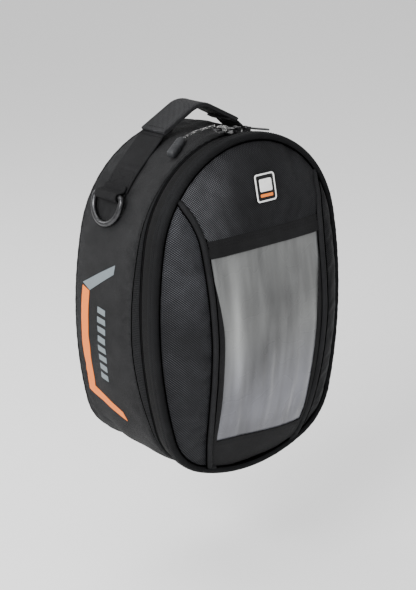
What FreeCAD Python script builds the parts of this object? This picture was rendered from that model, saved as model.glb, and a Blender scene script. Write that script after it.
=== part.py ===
# Soft motorcycle tank bag, built as separate pieces.
# Frame: millimetres, +Z up, the bag stands on its flattened bottom edge (Z = 0). The domed lid faces -Y and
# the base that lies on the tank faces +Y. X and Y are centred on the whole object.
import FreeCAD, Part
import math
import os
from FreeCAD import Vector, Placement, Rotation

os.makedirs("parts", exist_ok=True)
doc = FreeCAD.newDocument("TankBag")

# ---------------------------------------------------------------- driving dimensions
sheet = doc.addObject("Spreadsheet::Sheet", "Dims")
VALUES = [
    ("frame_shift", -50.7),          # moves the lid's rim plane to the frame's Y
    # outline seen from the front, four tangent arcs from the top centre down
    ("top_radius", 100.84), ("side_radius", 390.0), ("corner_radius", 57.0), ("bottom_radius", 154.0),
    ("top_angle", 79.0), ("side_angle", 104.3), ("corner_angle", 156.4),
    ("outline_low", -2.0),           # lowest point of the free outline, before it is flattened at the floor
    ("gusset_inset", 3.4), ("gusset_corner_fill", 5.0), ("lid_clip", 0.5),
    # tank-side plane: depth behind the rim at half height, and its slope
    ("depth_mid", 118.4), ("depth_slope", 0.08), ("depth_mid_height", 150.0),
    # side wall
    ("facing_front", 28.2), ("gusset_front", 33.0), ("gusset_thick", 2.0), ("foam_thick", 3.8),
    ("lining_thick", 0.7), ("facing_thick", 1.5),
    ("piping_wide", 4.0), ("piping_proud", 1.2), ("piping_deep", 4.0),
    # zip
    ("zip_line", 21.8), ("tape_gap", 2.0), ("tape_thick", 0.9), ("coil_wide", 1.8), ("coil_deep", 1.4),
    ("lid_tape_front", 8.45), ("body_tape_back", 32.0), ("hinge_half", 50.0),
    # lid rim
    ("rim_front", -2.0), ("rim_back", 8.4), ("rim_wide", 6.0),
    # lid layers, measured along Y below the lid's outer surface
    ("panel_thick", 1.6), ("lid_foam_top", 2.5), ("lid_foam_low", 5.9), ("lid_lining_low", 6.7),
    ("window_thick", 0.8), ("pocket_top", 12.5), ("pocket_low", 14.0), ("seam_half", 3.0),
    ("hem_low", 210.3), ("hem_high", 223.8), ("window_low", 31.8), ("pocket_mouth", 200.0),
    # tank-side base layers, measured from the outer face inwards
    ("base_skin", 2.4), ("base_foam_out", 2.5), ("base_foam_in", 8.5), ("board_out", 8.6), ("board_in", 10.6),
    ("base_lining_out", 10.7), ("base_lining_in", 11.4),
    ("magnet_radius", 19.0), ("magnet_thick", 5.0), ("magnet_clear", 0.5),
    # webbing, handle, D-rings
    ("web_wide", 32.0), ("web_thick", 1.8), ("web_centre", 76.0), ("patch_end_angle", 57.0),
    ("grip_half", 41.0), ("grip_end_height", 298.6), ("grip_top", 317.2), ("grip_bend", 22.0),
    ("grip_thick", 4.4), ("strap_top_x", 43.1), ("strap_top_height", 295.2),
    ("ring_wire", 5.25), ("ring_half", 18.9), ("ring_corner", 3.5), ("ring_straight", 5.6),
    ("ring_angle", 60.5), ("ring_radius", 103.6), ("ring_lean", 17.15),
    ("loop_wide", 30.0), ("loop_inner", 2.95), ("loop_outer", 4.6),
    # zip sliders, on the arc of the outline's top
    ("slot_low", 94.0), ("slot_high", 97.6), ("plate_low", 92.8), ("plate_high", 98.9),
    ("slider_half_wide", 5.3), ("slider_half_angle", 4.0), ("left_slider_angle", 1.8), ("right_slider_angle", 10.6),
    ("left_lug_angle", 3.9), ("right_lug_angle", 10.2), ("lug_radius", 101.4), ("lug_top", 103.0),
    ("pin_radius", 0.7), ("eye_radius", 0.78), ("barrel_radius", 1.6), ("barrel_half", 1.6),
    ("tab_thick", 1.4), ("left_tab_rise", 6.0), ("right_tab_rise", -12.0),
    # pull cord
    ("cord_wide", 2.2), ("cord_end_radius", 4.25), ("knot_radius", 4.75), ("knot_from", 11.5), ("knot_to", 21.0),
    # badge
    ("badge_x", 1.5), ("badge_height", 259.0), ("badge_wide", 22.5), ("badge_tall", 24.0),
]
for row, (alias, value) in enumerate(VALUES, 1):
    sheet.set("A%d" % row, alias)
    sheet.set("B%d" % row, str(value))
    sheet.setAlias("B%d" % row, alias)
doc.recompute()


def dim(alias):
    return float(sheet.get(alias))


SHIFT = dim("frame_shift")
nodes = {}


def keep(name, obj):
    obj.Label = name
    nodes[name] = obj
    return obj


# ---------------------------------------------------------------- the outline
A1, A2, A3 = (math.radians(dim(a)) for a in ("top_angle", "side_angle", "corner_angle"))


def outline_arcs(kind):
    """Radii and centres of the right half, top to bottom. Angles run from +Z towards +X."""
    if kind == "rim":
        r1, r3, r4, r5 = dim("top_radius"), dim("side_radius"), dim("corner_radius"), dim("bottom_radius")
        # the side radius closes the outline on the centre line
        r3 = (r1 * math.sin(A1) - r4 * math.sin(A2) + (r4 - r5) * math.sin(A3)) / (math.sin(A1) - math.sin(A2))
    else:
        g, fill = dim("gusset_inset"), dim("gusset_corner_fill")
        rim = outline_arcs("rim")
        r1, r3, r4 = rim[0][2] - g, rim[1][2] - g, rim[2][2] - g + fill
        r5 = r4 + ((r1 - r3) * math.sin(A1) + (r3 - r4) * math.sin(A2)) / math.sin(A3)
    radii = [r1, r3, r4, r5]
    angles = [0.0, A1, A2, A3, math.pi]
    centres = [(0.0, 0.0)]
    for i in range(1, 4):
        cx, cz = centres[-1]
        d = radii[i - 1] - radii[i]
        centres.append((cx + d * math.sin(angles[i]), cz + d * math.cos(angles[i])))
    if kind == "rim":
        low = centres[3][1] - radii[3]
        lift = dim("outline_low") - low
    else:
        lift = outline_arcs("rim")[0][1]
    return [(cx, cz + lift, r) for (cx, cz), r in zip(centres, radii)]


ARC_ANGLES = [0.0, A1, A2, A3, math.pi]
ZC = outline_arcs("rim")[0][1]       # height of the top arc's centre: the sliders travel round it
R_GUSSET = outline_arcs("gusset")[0][2]


def outline(kind, inset, clip=0.0):
    """Closed loop of sketch geometry, parallel to the outline and flattened near the floor."""
    arcs = [(cx, cz, r - inset) for cx, cz, r in outline_arcs(kind)]
    floor = clip + inset
    cx5, cz5, r5 = arcs[3]
    end = math.pi
    if cz5 - r5 < floor:
        end = math.acos((floor - cz5) / r5)
    geo = []
    half = math.pi / 2

    def arc(cx, cz, r, lo, hi):
        return Part.ArcOfCircle(Part.Circle(Vector(cx, cz, 0), Vector(0, 0, 1), r), lo, hi)

    geo.append(arc(0, arcs[0][1], arcs[0][2], half - A1, half + A1))
    stops = [A1, A2, A3, end]
    for i in (1, 2, 3):
        cx, cz, r = arcs[i]
        if i == 3:
            cx = 0.0
        geo.append(arc(cx, cz, r, half - stops[i], half - stops[i - 1]))
        geo.append(arc(-cx, cz, r, half + stops[i - 1], half + stops[i]))
    if end < math.pi:
        x = r5 * math.sin(end)
        geo.append(Part.LineSegment(Vector(-x, floor, 0), Vector(x, floor, 0)))
    return geo


def half_width(kind, inset, z):
    """Half width of the parallel outline at a height."""
    arcs = outline_arcs(kind)
    best = 0.0
    for i, (cx, cz, r) in enumerate(arcs):
        r -= inset
        top, low = cz + r * math.cos(ARC_ANGLES[i]), cz + r * math.cos(ARC_ANGLES[i + 1])
        if low - 1e-6 <= z <= top + 1e-6:
            best = max(best, cx + math.sqrt(max(r * r - (z - cz) ** 2, 0.0)))
    return best


def outline_point(s):
    """Point of the side wall's outline, s millimetres from the top centre, on the right side."""
    for i, (cx, cz, r) in enumerate(outline_arcs("gusset")):
        span = r * (ARC_ANGLES[i + 1] - ARC_ANGLES[i])
        if s <= span or i == 3:
            a = ARC_ANGLES[i] + s / r
            return cx + r * math.sin(a), cz + r * math.cos(a)
        s -= span


# ---------------------------------------------------------------- builders
def plane_of(body, role):
    return [f for f in body.Origin.OriginFeatures if f.Role == role][0]


def prism(name, loops, y0, y1):
    """A body padded along +Y between two depths, given as expressions of the sheet's cells."""
    body = doc.addObject("PartDesign::Body", name)
    sketch = body.newObject("Sketcher::SketchObject", name + "_profile")
    sketch.AttachmentSupport = [(plane_of(body, "XZ_Plane"), "")]
    sketch.MapMode = "FlatFace"
    for loop in loops:
        for g in loop:
            sketch.addGeometry(g, False)
    sketch.setExpression("AttachmentOffset.Base.z", "-(Dims.frame_shift + %s)" % y0)
    pad = body.newObject("PartDesign::Pad", name + "_pad")
    pad.Profile = sketch
    pad.Reversed = True
    pad.setExpression("Length", "%s - (%s)" % (y1, y0))
    body.Tip = pad
    return body


def tilted_slab(name, outer, thick):
    """A slab parallel to the tank-side plane. Its +Y face lies `outer` mm in front of that plane."""
    slope = math.atan(dim("depth_slope"))
    box = doc.addObject("Part::Box", name)
    box.Length = 400
    box.Height = 420
    box.setExpression("Width", thick)
    z0 = -50.0
    y = dim("depth_mid") - dim("depth_slope") * (z0 - dim("depth_mid_height")) - outer + SHIFT
    w = float(thick) if thick.replace(".", "").isdigit() else None
    if w is None:
        w = cell_sum(thick)
    base = Vector(-200, y - w * math.cos(slope), z0 - w * math.sin(slope))
    box.Placement = Placement(base, Rotation(Vector(1, 0, 0), math.degrees(slope)))
    return box


def cell_sum(text):
    """Value of a difference of two cells, such as Dims.a - Dims.b."""
    total, sign = 0.0, 1.0
    for word in text.split():
        if word == "-":
            sign = -1.0
        elif word == "+":
            sign = 1.0
        else:
            total += sign * (dim(word[5:]) if word.startswith("Dims.") else float(word))
            sign = 1.0
    return total


def cut(name, base, tool):
    obj = doc.addObject("Part::Cut", name)
    obj.Base, obj.Tool = base, tool
    return obj


def common(name, base, tool):
    obj = doc.addObject("Part::Common", name)
    obj.Base, obj.Tool = base, tool
    return obj


def fuse(name, shapes):
    obj = doc.addObject("Part::MultiFuse", name)
    obj.Shapes = shapes
    return obj


def mirrored(name, source):
    obj = doc.addObject("Part::Mirroring", name)
    obj.Source = source
    obj.Base = Vector(0, 0, 0)
    obj.Normal = Vector(1, 0, 0)
    return keep(name, obj)


def box(name, x0, x1, y0, y1, z0, z1):
    obj = doc.addObject("Part::Box", name)
    obj.Length, obj.Width, obj.Height = x1 - x0, y1 - y0, z1 - z0
    obj.Placement = Placement(Vector(x0, y0 + SHIFT, z0), Rotation())
    return obj


def sector(name, radius, height, a0, a1, y0):
    """Cylinder sector about the top arc's axis, from angle a0 to a1 (degrees from +Z towards +X)."""
    obj = doc.addObject("Part::Cylinder", name)
    obj.setExpression("Radius", radius)
    obj.setExpression("Height", height)
    obj.Angle = a1 - a0
    a = math.radians(a0)
    rot = Rotation(Vector(math.sin(a), 0, math.cos(a)), Vector(math.cos(a), 0, -math.sin(a)), Vector(0, 1, 0), "ZXY")
    obj.Placement = Placement(Vector(0, y0 + SHIFT, ZC), rot)
    return obj


def arc_block(name, r0, r1, y0, y1, a0, a1):
    """Part of a ring about the top arc's axis. r0 and r1 are expressions."""
    high = "%.4f" % (y1 - y0)
    outer = sector(name + "_outer", r1, high, a0, a1, y0)
    inner = sector(name + "_inner", r0, "%.4f" % (y1 - y0 + 2.0), a0 - 1.0, a1 + 1.0, y0 - 1.0)
    return cut(name, outer, inner)


def rod(name, radius, length, centre, axis):
    """Cylinder centred on a point along an axis."""
    obj = doc.addObject("Part::Cylinder", name)
    obj.setExpression("Radius", radius)
    obj.setExpression("Height", length)
    axis = Vector(axis).normalize()
    half = cell_sum(length) / 2.0
    obj.Placement = Placement(Vector(centre) - axis * half, Rotation(Vector(0, 0, 1), axis))
    return obj


def on_arc(radius, angle):
    a = math.radians(angle)
    return radius * math.sin(a), ZC + radius * math.cos(a)


# ---------------------------------------------------------------- side wall of the bag
back_cutter = tilted_slab("behind_piping_front", -60.0, "64.0")       # removes all behind 4 mm inside the base face


def wall_ring(name, in0, in1, front, back_gap, clip=0.0):
    """Closed ring between two parallel outlines, cut off parallel to the tank-side plane."""
    blank = prism(name + "_blank", [outline("gusset", in0, clip), outline("gusset", in1, clip)], front, "150")
    width = 60.0 + back_gap
    cutter = tilted_slab(name + "_back", -60.0, "%.3f" % width)
    return keep(name, cut(name, blank, cutter))


g_t, f_t, l_t = dim("gusset_thick"), dim("foam_thick"), dim("lining_thick")
wall_ring("gusset_shell", 0.0, g_t, "Dims.gusset_front", dim("piping_deep") + 0.05)
wall_ring("gusset_foam", g_t + 0.1, g_t + 0.1 + f_t, "(Dims.gusset_front + 1)", dim("piping_deep") + 0.1)
wall_ring("gusset_lining", g_t + 0.2 + f_t, g_t + 0.2 + f_t + l_t, "24", dim("piping_deep") + 0.1)

keep("zip_facing", prism("zip_facing", [outline("gusset", 0.0, 0.2), outline("gusset", dim("facing_thick"), 0.2)],
                         "Dims.facing_front", "(Dims.gusset_front - 0.05)"))

pipe_blank = prism("rear_piping_blank", [outline("gusset", -dim("piping_proud"), 0.3 + dim("piping_proud")),
                                         outline("gusset", dim("piping_wide") - dim("piping_proud") + 0.0, 0.3)],
                   "80", "150")
pipe_slab = tilted_slab("rear_piping_slab", 0.0, "Dims.piping_deep")
keep("rear_piping", common("rear_piping", pipe_blank, pipe_slab))

# ---------------------------------------------------------------- zip tapes, coil halves, end tabs, hinge strip
hh = dim("hinge_half")
t0, t1 = 0.2, 0.2 + dim("tape_thick")
line, gap = dim("zip_line"), dim("tape_gap") / 2.0


def tape_ring(name, in0, in1, y0, y1, front=True):
    blank = prism(name + "_blank", [outline("gusset", in0), outline("gusset", in1)], y0, y1)
    away = box(name + "_hinge_gap", -hh, hh, -20, 60, -5, 40)
    return keep(name, cut(name, blank, away))


tape_ring("zip_tape_lid", t0, t1, "Dims.lid_tape_front", "(Dims.zip_line - Dims.tape_gap / 2)")
tape_ring("zip_tape_body", 1.6, 1.6 + dim("tape_thick"), "(Dims.zip_line + Dims.tape_gap / 2)", "Dims.body_tape_back")
tape_ring("zip_coil_lid", t1, t1 + dim("coil_deep"), "(Dims.zip_line - Dims.tape_gap / 2 - Dims.coil_wide)",
          "(Dims.zip_line - Dims.tape_gap / 2)")
tape_ring("zip_coil_body", 1.6 + dim("tape_thick"), 1.6 + dim("tape_thick") + 0.6,
          "(Dims.zip_line + Dims.tape_gap / 2)", "(Dims.zip_line + Dims.tape_gap / 2 + Dims.coil_wide)")

tab_ring = prism("zip_end_ring", [outline("gusset", -0.7), outline("gusset", 1.5)], "22.9", "28.1")
tab_boxes = fuse("zip_end_boxes", [box("zip_end_box_right", hh + 1, hh + 11, 0, 60, -5, 40),
                                   box("zip_end_box_left", -hh - 11, -hh - 1, 0, 60, -5, 40)])
keep("zip_end_tabs", common("zip_end_tabs", tab_ring, tab_boxes))

strip_ring = prism("hinge_strip_ring", [outline("gusset", 0.2), outline("gusset", 1.1)], "8.6", "28.0")
strip_box = box("hinge_strip_box", -hh + 1, hh - 1, 0, 60, -5, 40)
keep("lid_hinge_strip", common("lid_hinge_strip", strip_ring, strip_box))

# ---------------------------------------------------------------- tank-side base
base_inset = g_t + f_t + l_t + 0.6
plates = [("base_panel", dim("piping_wide") - dim("piping_proud") + 0.05, 0.0, "Dims.base_skin"),
          ("base_board", base_inset, dim("board_out"), "Dims.board_in - Dims.board_out"),
          ("base_lining", base_inset, dim("base_lining_out"), "Dims.base_lining_in - Dims.base_lining_out")]
for name, inset, out, thick in plates:
    block = prism(name + "_outline", [outline("gusset", inset, 0.2)], "70", "150")
    slab = tilted_slab(name + "_slab", out, thick)
    keep(name, common(name, block, slab))

foam_block = prism("base_foam_outline", [outline("gusset", base_inset, 0.2)], "70", "150")
foam_slab = tilted_slab("base_foam_slab", dim("base_foam_out"), "Dims.base_foam_in - Dims.base_foam_out")
foam_plain = common("base_foam_plain", foam_block, foam_slab)
slope = math.atan(dim("depth_slope"))
normal = Vector(0, math.cos(slope), math.sin(slope))


def on_base(x, z, inward):
    y = dim("depth_mid") - dim("depth_slope") * (z - dim("depth_mid_height")) + SHIFT
    return Vector(x, y, z) - normal * inward


magnets, pockets = [], []
for i, (x, z) in enumerate([(-55, 75), (55, 75), (-52, 225), (52, 225)]):
    c = on_base(x, z, dim("base_foam_out") + 3.2)
    magnets.append(rod("magnet_%d" % (i + 1), "Dims.magnet_radius", "Dims.magnet_thick", c, normal))
    pockets.append(rod("magnet_pocket_%d" % (i + 1), "Dims.magnet_radius + Dims.magnet_clear", "20", c, normal))
keep("base_foam", cut("base_foam", foam_plain, fuse("magnet_pockets", pockets)))
magnet_group = doc.addObject("Part::Compound", "base_magnets")
magnet_group.Links = magnets
keep("base_magnets", magnet_group)

# ---------------------------------------------------------------- webbing patches, handle grip, D-ring loops
w0, w1 = "(Dims.web_centre - Dims.web_wide / 2)", "(Dims.web_centre + Dims.web_wide / 2)"
rs_in = R_GUSSET + 0.1
rs_out = rs_in + dim("web_thick")
rs_mid = (rs_in + rs_out) / 2.0
ax, az = dim("strap_top_x"), dim("strap_top_height") - ZC
reach = math.hypot(ax, az)
t_ang = math.atan2(ax, az) + math.acos(rs_mid / reach)           # where the webbing leaves the side wall
p_ang = math.radians(dim("patch_end_angle"))
n = Vector(math.sin(t_ang), math.cos(t_ang), 0)
top_pt = Vector(dim("strap_top_x"), dim("strap_top_height"), 0)


def at(r, a):
    return Vector(r * math.sin(a), ZC + r * math.cos(a), 0)


def arc_seg(r, a, b, cz=None):
    """Arc about the top arc's centre (or another height) between two angles from +Z."""
    cz = ZC if cz is None else cz
    lo, hi = sorted((math.pi / 2 - a, math.pi / 2 - b))
    return Part.ArcOfCircle(Part.Circle(Vector(0, cz, 0), Vector(0, 0, 1), r), lo, hi)


half_t = dim("web_thick") / 2.0
patch_loop = [
    Part.LineSegment(top_pt + n * half_t, at(rs_out, t_ang)),
    arc_seg(rs_out, t_ang, p_ang),
    Part.LineSegment(at(rs_out, p_ang), at(rs_in, p_ang)),
    arc_seg(rs_in, p_ang, t_ang),
    Part.LineSegment(at(rs_in, t_ang), top_pt - n * half_t),
    Part.LineSegment(top_pt - n * half_t, top_pt + n * half_t),
]
patch_right = keep("strap_patch_right", prism("strap_patch_right", [patch_loop], w0, w1))
mirrored("strap_patch_left", patch_right)

gc = dim("grip_top") - dim("grip_bend")                           # height of the bend's centre
gx, gz = dim("grip_half"), dim("grip_end_height") - gc
g_ang = math.atan2(gx, gz) - math.acos(dim("grip_bend") / math.hypot(gx, gz))
gn = Vector(math.sin(g_ang), math.cos(g_ang), 0)
gt = dim("grip_thick") / 2.0
r_o, r_i = dim("grip_bend") + gt, dim("grip_bend") - gt
e_r = Vector(gx, dim("grip_end_height"), 0)


def flip(v):
    return Vector(-v.x, v.y, v.z)


def gp(r, a):
    return Vector(r * math.sin(a), gc + r * math.cos(a), 0)


grip_loop = [
    Part.LineSegment(e_r + gn * gt, gp(r_o, g_ang)),
    arc_seg(r_o, g_ang, -g_ang, gc),
    Part.LineSegment(gp(r_o, -g_ang), flip(e_r + gn * gt)),
    Part.LineSegment(flip(e_r + gn * gt), flip(e_r - gn * gt)),
    Part.LineSegment(flip(e_r - gn * gt), gp(r_i, -g_ang)),
    arc_seg(r_i, -g_ang, g_ang, gc),
    Part.LineSegment(gp(r_i, g_ang), e_r - gn * gt),
    Part.LineSegment(e_r - gn * gt, e_r + gn * gt),
]
keep("handle_grip", prism("handle_grip", [grip_loop], w0, w1))

bx, bz = on_arc(dim("ring_radius"), dim("ring_angle"))
bar = Vector(bx, dim("web_centre") + SHIFT, bz)
loop_ring = cut("loop_ring", rod("loop_ring_outer", "Dims.loop_outer", "Dims.loop_wide", bar, (0, 1, 0)),
                rod("loop_ring_hole", "Dims.loop_inner", "Dims.loop_wide + 4.0", bar, (0, 1, 0)))
lw = dim("loop_wide") / 2.0
tail = arc_block("loop_tail", "%.4f" % rs_in, "%.4f" % rs_out, dim("web_centre") - lw, dim("web_centre") + lw,
                 dim("patch_end_angle") + 0.2, dim("ring_angle") + 2.0)
loop_right = keep("dring_loop_right", fuse("dring_loop_right", [loop_ring, tail]))
mirrored("dring_loop_left", loop_right)

# D-ring: round wire bent to a D, its straight bar in the webbing loop
ring = doc.addObject("PartDesign::Body", "dring_right")
path = ring.newObject("Sketcher::SketchObject", "dring_path")
path.AttachmentSupport = [(plane_of(ring, "XY_Plane"), "")]
path.MapMode = "FlatFace"
rh, rc, rl = dim("ring_half"), dim("ring_corner"), dim("ring_straight")


def circ(cx, cy, r, lo, hi):
    return Part.ArcOfCircle(Part.Circle(Vector(cx, cy, 0), Vector(0, 0, 1), r), math.radians(lo), math.radians(hi))


path_geo = [
    Part.LineSegment(Vector(0, 0, 0), Vector(rh - rc, 0, 0)),
    circ(rh - rc, rc, rc, 270, 360),
    Part.LineSegment(Vector(rh, rc, 0), Vector(rh, rl, 0)),
    circ(0, rl, rh, 0, 180),
    Part.LineSegment(Vector(-rh, rl, 0), Vector(-rh, rc, 0)),
    circ(-(rh - rc), rc, rc, 180, 270),
    Part.LineSegment(Vector(-(rh - rc), 0, 0), Vector(0, 0, 0)),
]
for g in path_geo:
    path.addGeometry(g, False)
section = ring.newObject("Sketcher::SketchObject", "dring_section")
section.AttachmentSupport = [(plane_of(ring, "YZ_Plane"), "")]
section.MapMode = "FlatFace"
section.addGeometry(Part.Circle(Vector(0, 0, 0), Vector(0, 0, 1), dim("ring_wire") / 2.0), False)
import Sketcher
section.addConstraint(Sketcher.Constraint("Coincident", 0, 3, -1, 1))
section.addConstraint(Sketcher.Constraint("Diameter", 0, dim("ring_wire")))
section.setExpression("Constraints[1]", "Dims.ring_wire")
pipe = ring.newObject("PartDesign::AdditivePipe", "dring_pipe")
pipe.Profile = section
pipe.Spine = (path, ["Edge%d" % (i + 1) for i in range(len(path_geo))])
ring.Tip = pipe
lean = math.radians(dim("ring_lean"))
hang = Vector(math.sin(lean), 0, -math.cos(lean))                 # the D hangs down along the side wall
side = Vector(0, 1, 0)
ring.Placement = Placement(bar, Rotation(side, hang, side.cross(hang), "ZXY"))
keep("dring_right", ring)
mirrored("dring_left", ring)

# ---------------------------------------------------------------- printed graphics on the side wall
print_band = prism("print_band", [outline("gusset", -0.35), outline("gusset", 0.0)], "40", "121")


def side_print(name, polygons):
    """Thin raised print on the right side wall. Polygons are (depth behind the rim, length down the wall)."""
    body = doc.addObject("PartDesign::Body", name + "_shape")
    sketch = body.newObject("Sketcher::SketchObject", name + "_profile")
    sketch.AttachmentSupport = [(plane_of(body, "YZ_Plane"), "")]
    sketch.MapMode = "FlatFace"
    sketch.AttachmentOffset = Placement(Vector(0, 0, 60), Rotation())
    for poly in polygons:
        pts = [Vector(y + SHIFT, outline_point(s)[1], 0) for y, s in poly]
        for p, q in zip(pts, pts[1:] + pts[:1]):
            sketch.addGeometry(Part.LineSegment(p, q), False)
    pad = body.newObject("PartDesign::Pad", name + "_pad")
    pad.Profile = sketch
    pad.Length = 60
    body.Tip = pad
    right = keep(name + "_right", common(name + "_right", print_band, body))
    mirrored(name + "_left", right)


side_print("side_chevron", [[(102.3, 182.4), (91.1, 187.2), (55.9, 165.6), (54.9, 157.4)]])
side_print("side_stripe", [[(102.3, 185.0), (111.7, 287.3), (59.5, 304.0), (62.6, 295.6), (100.0, 280.6), (91.8, 187.8)]])
bars = []
for i in range(8):
    s0 = 198.8 + i * 8.9
    f = 68.5 + 4.8 * i / 7.0
    bars.append([(f, s0 + 1.6), (f + 10.7, s0), (f + 10.9, s0 + 5.4), (f + 0.2, s0 + 7.0)])
side_print("side_bars", bars)

# ---------------------------------------------------------------- lid rim
keep("lid_rim_band", prism("lid_rim_band", [outline("rim", 0.0, dim("lid_clip")), outline("rim", dim("rim_wide"), dim("lid_clip"))],
                           "Dims.rim_front", "Dims.rim_back"))

# ---------------------------------------------------------------- lid dome: height of the lid in front of the rim plane
CENTRE = [(6.0, 0), (14, 4.5), (30, 9.5), (60, 18.5), (90, 24.5), (120, 28), (150, 29), (180, 26.5), (216, 21.5),
          (240, 19.5), (260, 17), (275, 12.5), (287, 6.5), (295.4, 0)]
SEAM_H = [(11, 0), (30, 7), (50, 13), (80, 20), (110, 25), (140, 27.5), (170, 26), (200, 22), (223, 18), (240, 12.5),
          (252, 5), (259, 0)]
SEAM_X = [(11, 50), (30, 55.5), (50, 59), (90, 61.5), (140, 62.5), (180, 63), (223, 65), (245, 70), (259, 75.6)]


def curve(table, z):
    """Monotone cubic through a table of (height, value)."""
    if z <= table[0][0]:
        return float(table[0][1])
    if z >= table[-1][0]:
        return float(table[-1][1])
    xs, ys = [p[0] for p in table], [p[1] for p in table]
    k = max(i for i in range(len(xs) - 1) if xs[i] <= z)
    d = [(ys[i + 1] - ys[i]) / (xs[i + 1] - xs[i]) for i in range(len(xs) - 1)]

    def slope_at(i):
        if i == 0:
            return d[0]
        if i == len(xs) - 1:
            return d[-1]
        if d[i - 1] * d[i] <= 0:
            return 0.0
        return 2 * d[i - 1] * d[i] / (d[i - 1] + d[i])
    w = xs[k + 1] - xs[k]
    t = (z - xs[k]) / w
    m0, m1 = slope_at(k) * w, slope_at(k + 1) * w
    return ((2 * t ** 3 - 3 * t ** 2 + 1) * ys[k] + (t ** 3 - 2 * t ** 2 + t) * m0
            + (-2 * t ** 3 + 3 * t ** 2) * ys[k + 1] + (t ** 3 - t ** 2) * m1)


EDGE = dim("rim_wide") + 0.1


def rim_half(z):
    return half_width("rim", EDGE, z)


def seam_half_width(z):
    return min(curve(SEAM_X, z), rim_half(z))


def dome(x, z):
    x, w = abs(x), rim_half(z)
    s = seam_half_width(z)
    hc = curve(CENTRE, z)
    hs = curve(SEAM_H, z) if w - s > 0.3 else 0.0
    hs = min(hs, hc)
    if x <= s or w - s < 0.3:
        return hc + (hs - hc) * (min(x / max(s, 1.0), 1.0)) ** 2
    t = min((x - s) / (w - s), 1.0)
    return hs * (1 - t ** 1.5)


def lid_sheet(rows, top, low):
    """Closed solid between two surfaces over a grid. rows: lists of (x, z); top and low: height along -Y."""
    outer = [[Vector(x, SHIFT - top(x, z), z) for x, z in row] for row in rows]
    inner = [[Vector(x, SHIFT - low(x, z), z) for x, z in row] for row in rows]
    faces = []

    def tri(a, b, c):
        faces.append(Part.Face(Part.makePolygon([a, b, c, a])))

    nr, nc = len(rows), len(rows[0])
    for i in range(nr - 1):
        for j in range(nc - 1):
            a, b, c, e = outer[i][j], outer[i][j + 1], outer[i + 1][j + 1], outer[i + 1][j]
            tri(a, b, c)
            tri(a, c, e)
            a, b, c, e = inner[i][j], inner[i][j + 1], inner[i + 1][j + 1], inner[i + 1][j]
            tri(a, c, b)
            tri(a, e, c)
    ring_ij = ([(0, j) for j in range(nc)] + [(i, nc - 1) for i in range(1, nr)]
               + [(nr - 1, j) for j in range(nc - 2, -1, -1)] + [(i, 0) for i in range(nr - 2, 0, -1)])
    for (i, j), (k, m) in zip(ring_ij, ring_ij[1:] + ring_ij[:1]):
        a, b, c, e = outer[i][j], outer[k][m], inner[k][m], inner[i][j]
        tri(a, b, c)
        tri(a, c, e)
    shell = Part.Shell(faces)
    solid = Part.Solid(shell)
    if solid.Volume < 0:
        solid = Part.Solid(shell.reversed())
    return solid


def feature(name, solids):
    obj = doc.addObject("Part::Feature", name)
    obj.Shape = solids[0] if len(solids) == 1 else Part.makeCompound(solids)
    obj.Placement = Placement()
    return keep(name, obj)


def spread(a, b, n):
    return [a + (b - a) * i / float(n) for i in range(n + 1)]


def flip_rows(rows):
    return [[(-x, z) for x, z in row] for row in rows]


sh = dim("seam_half")
side_z = spread(17, 251, 12)
side_rows = [[(x, z) for x in spread(seam_half_width(z) + sh + 0.2, rim_half(z) - 0.05, 4)] for z in side_z]
foam_rows = [[(x, z) for x in spread(seam_half_width(z) - sh, rim_half(z) - 0.05, 5)] for z in side_z]
seam_rows = [[(x, z) for x in spread(seam_half_width(z) - sh, seam_half_width(z) + sh, 4)] for z in spread(16.5, 252, 14)]


def middle_half(z):
    w, s = rim_half(z), seam_half_width(z)
    return s - sh - 0.2 if w - s > 1.0 else w - 0.05


def middle_rows(zs, n):
    return [[(x, z) for x in spread(-middle_half(z), middle_half(z), n)] for z in zs]


top_z = [dim("hem_high") + 0.2, 232, 240, 248, 256, 260, 266, 272, 278, 283, 287, 290, 292.5, 294.2]
low_z = [8, 10, 12, 14, 17, 21, 26, dim("window_low") - 0.2]
pt = dim("panel_thick")
feature("panel_right", [lid_sheet(side_rows, dome, lambda x, z: dome(x, z) - pt)])
feature("panel_left", [lid_sheet(flip_rows(side_rows), dome, lambda x, z: dome(x, z) - pt)])
feature("panel_top", [lid_sheet(middle_rows(top_z, 8), dome, lambda x, z: dome(x, z) - pt)])
feature("panel_bottom", [lid_sheet(middle_rows(low_z, 8), dome, lambda x, z: dome(x, z) - pt)])


def seam_top(x, z):
    t = (abs(x) - seam_half_width(z)) / sh
    return dome(x, z) + 1.5 * (1 - t * t) + 0.05


for name, rows in (("seam_piping_right", seam_rows), ("seam_piping_left", flip_rows(seam_rows))):
    feature(name, [lid_sheet(rows, seam_top, lambda x, z: dome(x, z) - pt)])

wt = dim("window_thick")
feature("window_sheet", [lid_sheet(middle_rows(spread(dim("window_low"), dim("hem_low") - 0.1, 12), 8), dome,
                                   lambda x, z: dome(x, z) - wt)])
feature("window_hem", [lid_sheet(middle_rows(spread(dim("hem_low"), dim("hem_high"), 2), 8),
                                 lambda x, z: dome(x, z) + 0.8, lambda x, z: dome(x, z) - pt)])


def layer(name, top_d, low_d):
    """Four solids that back the fabric panels all round the window."""
    up, dn = (lambda x, z: dome(x, z) - top_d), (lambda x, z: dome(x, z) - low_d)
    foam_top_z = [dim("hem_low") + 0.5, 218] + top_z[:]
    mid = lambda zs: [[(x, z) for x in spread(-middle_half(z), middle_half(z), 6)] for z in zs]
    feature(name, [lid_sheet(foam_rows, up, dn), lid_sheet(flip_rows(foam_rows), up, dn),
                   lid_sheet(mid(foam_top_z), up, dn), lid_sheet(mid(low_z), up, dn)])


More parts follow.
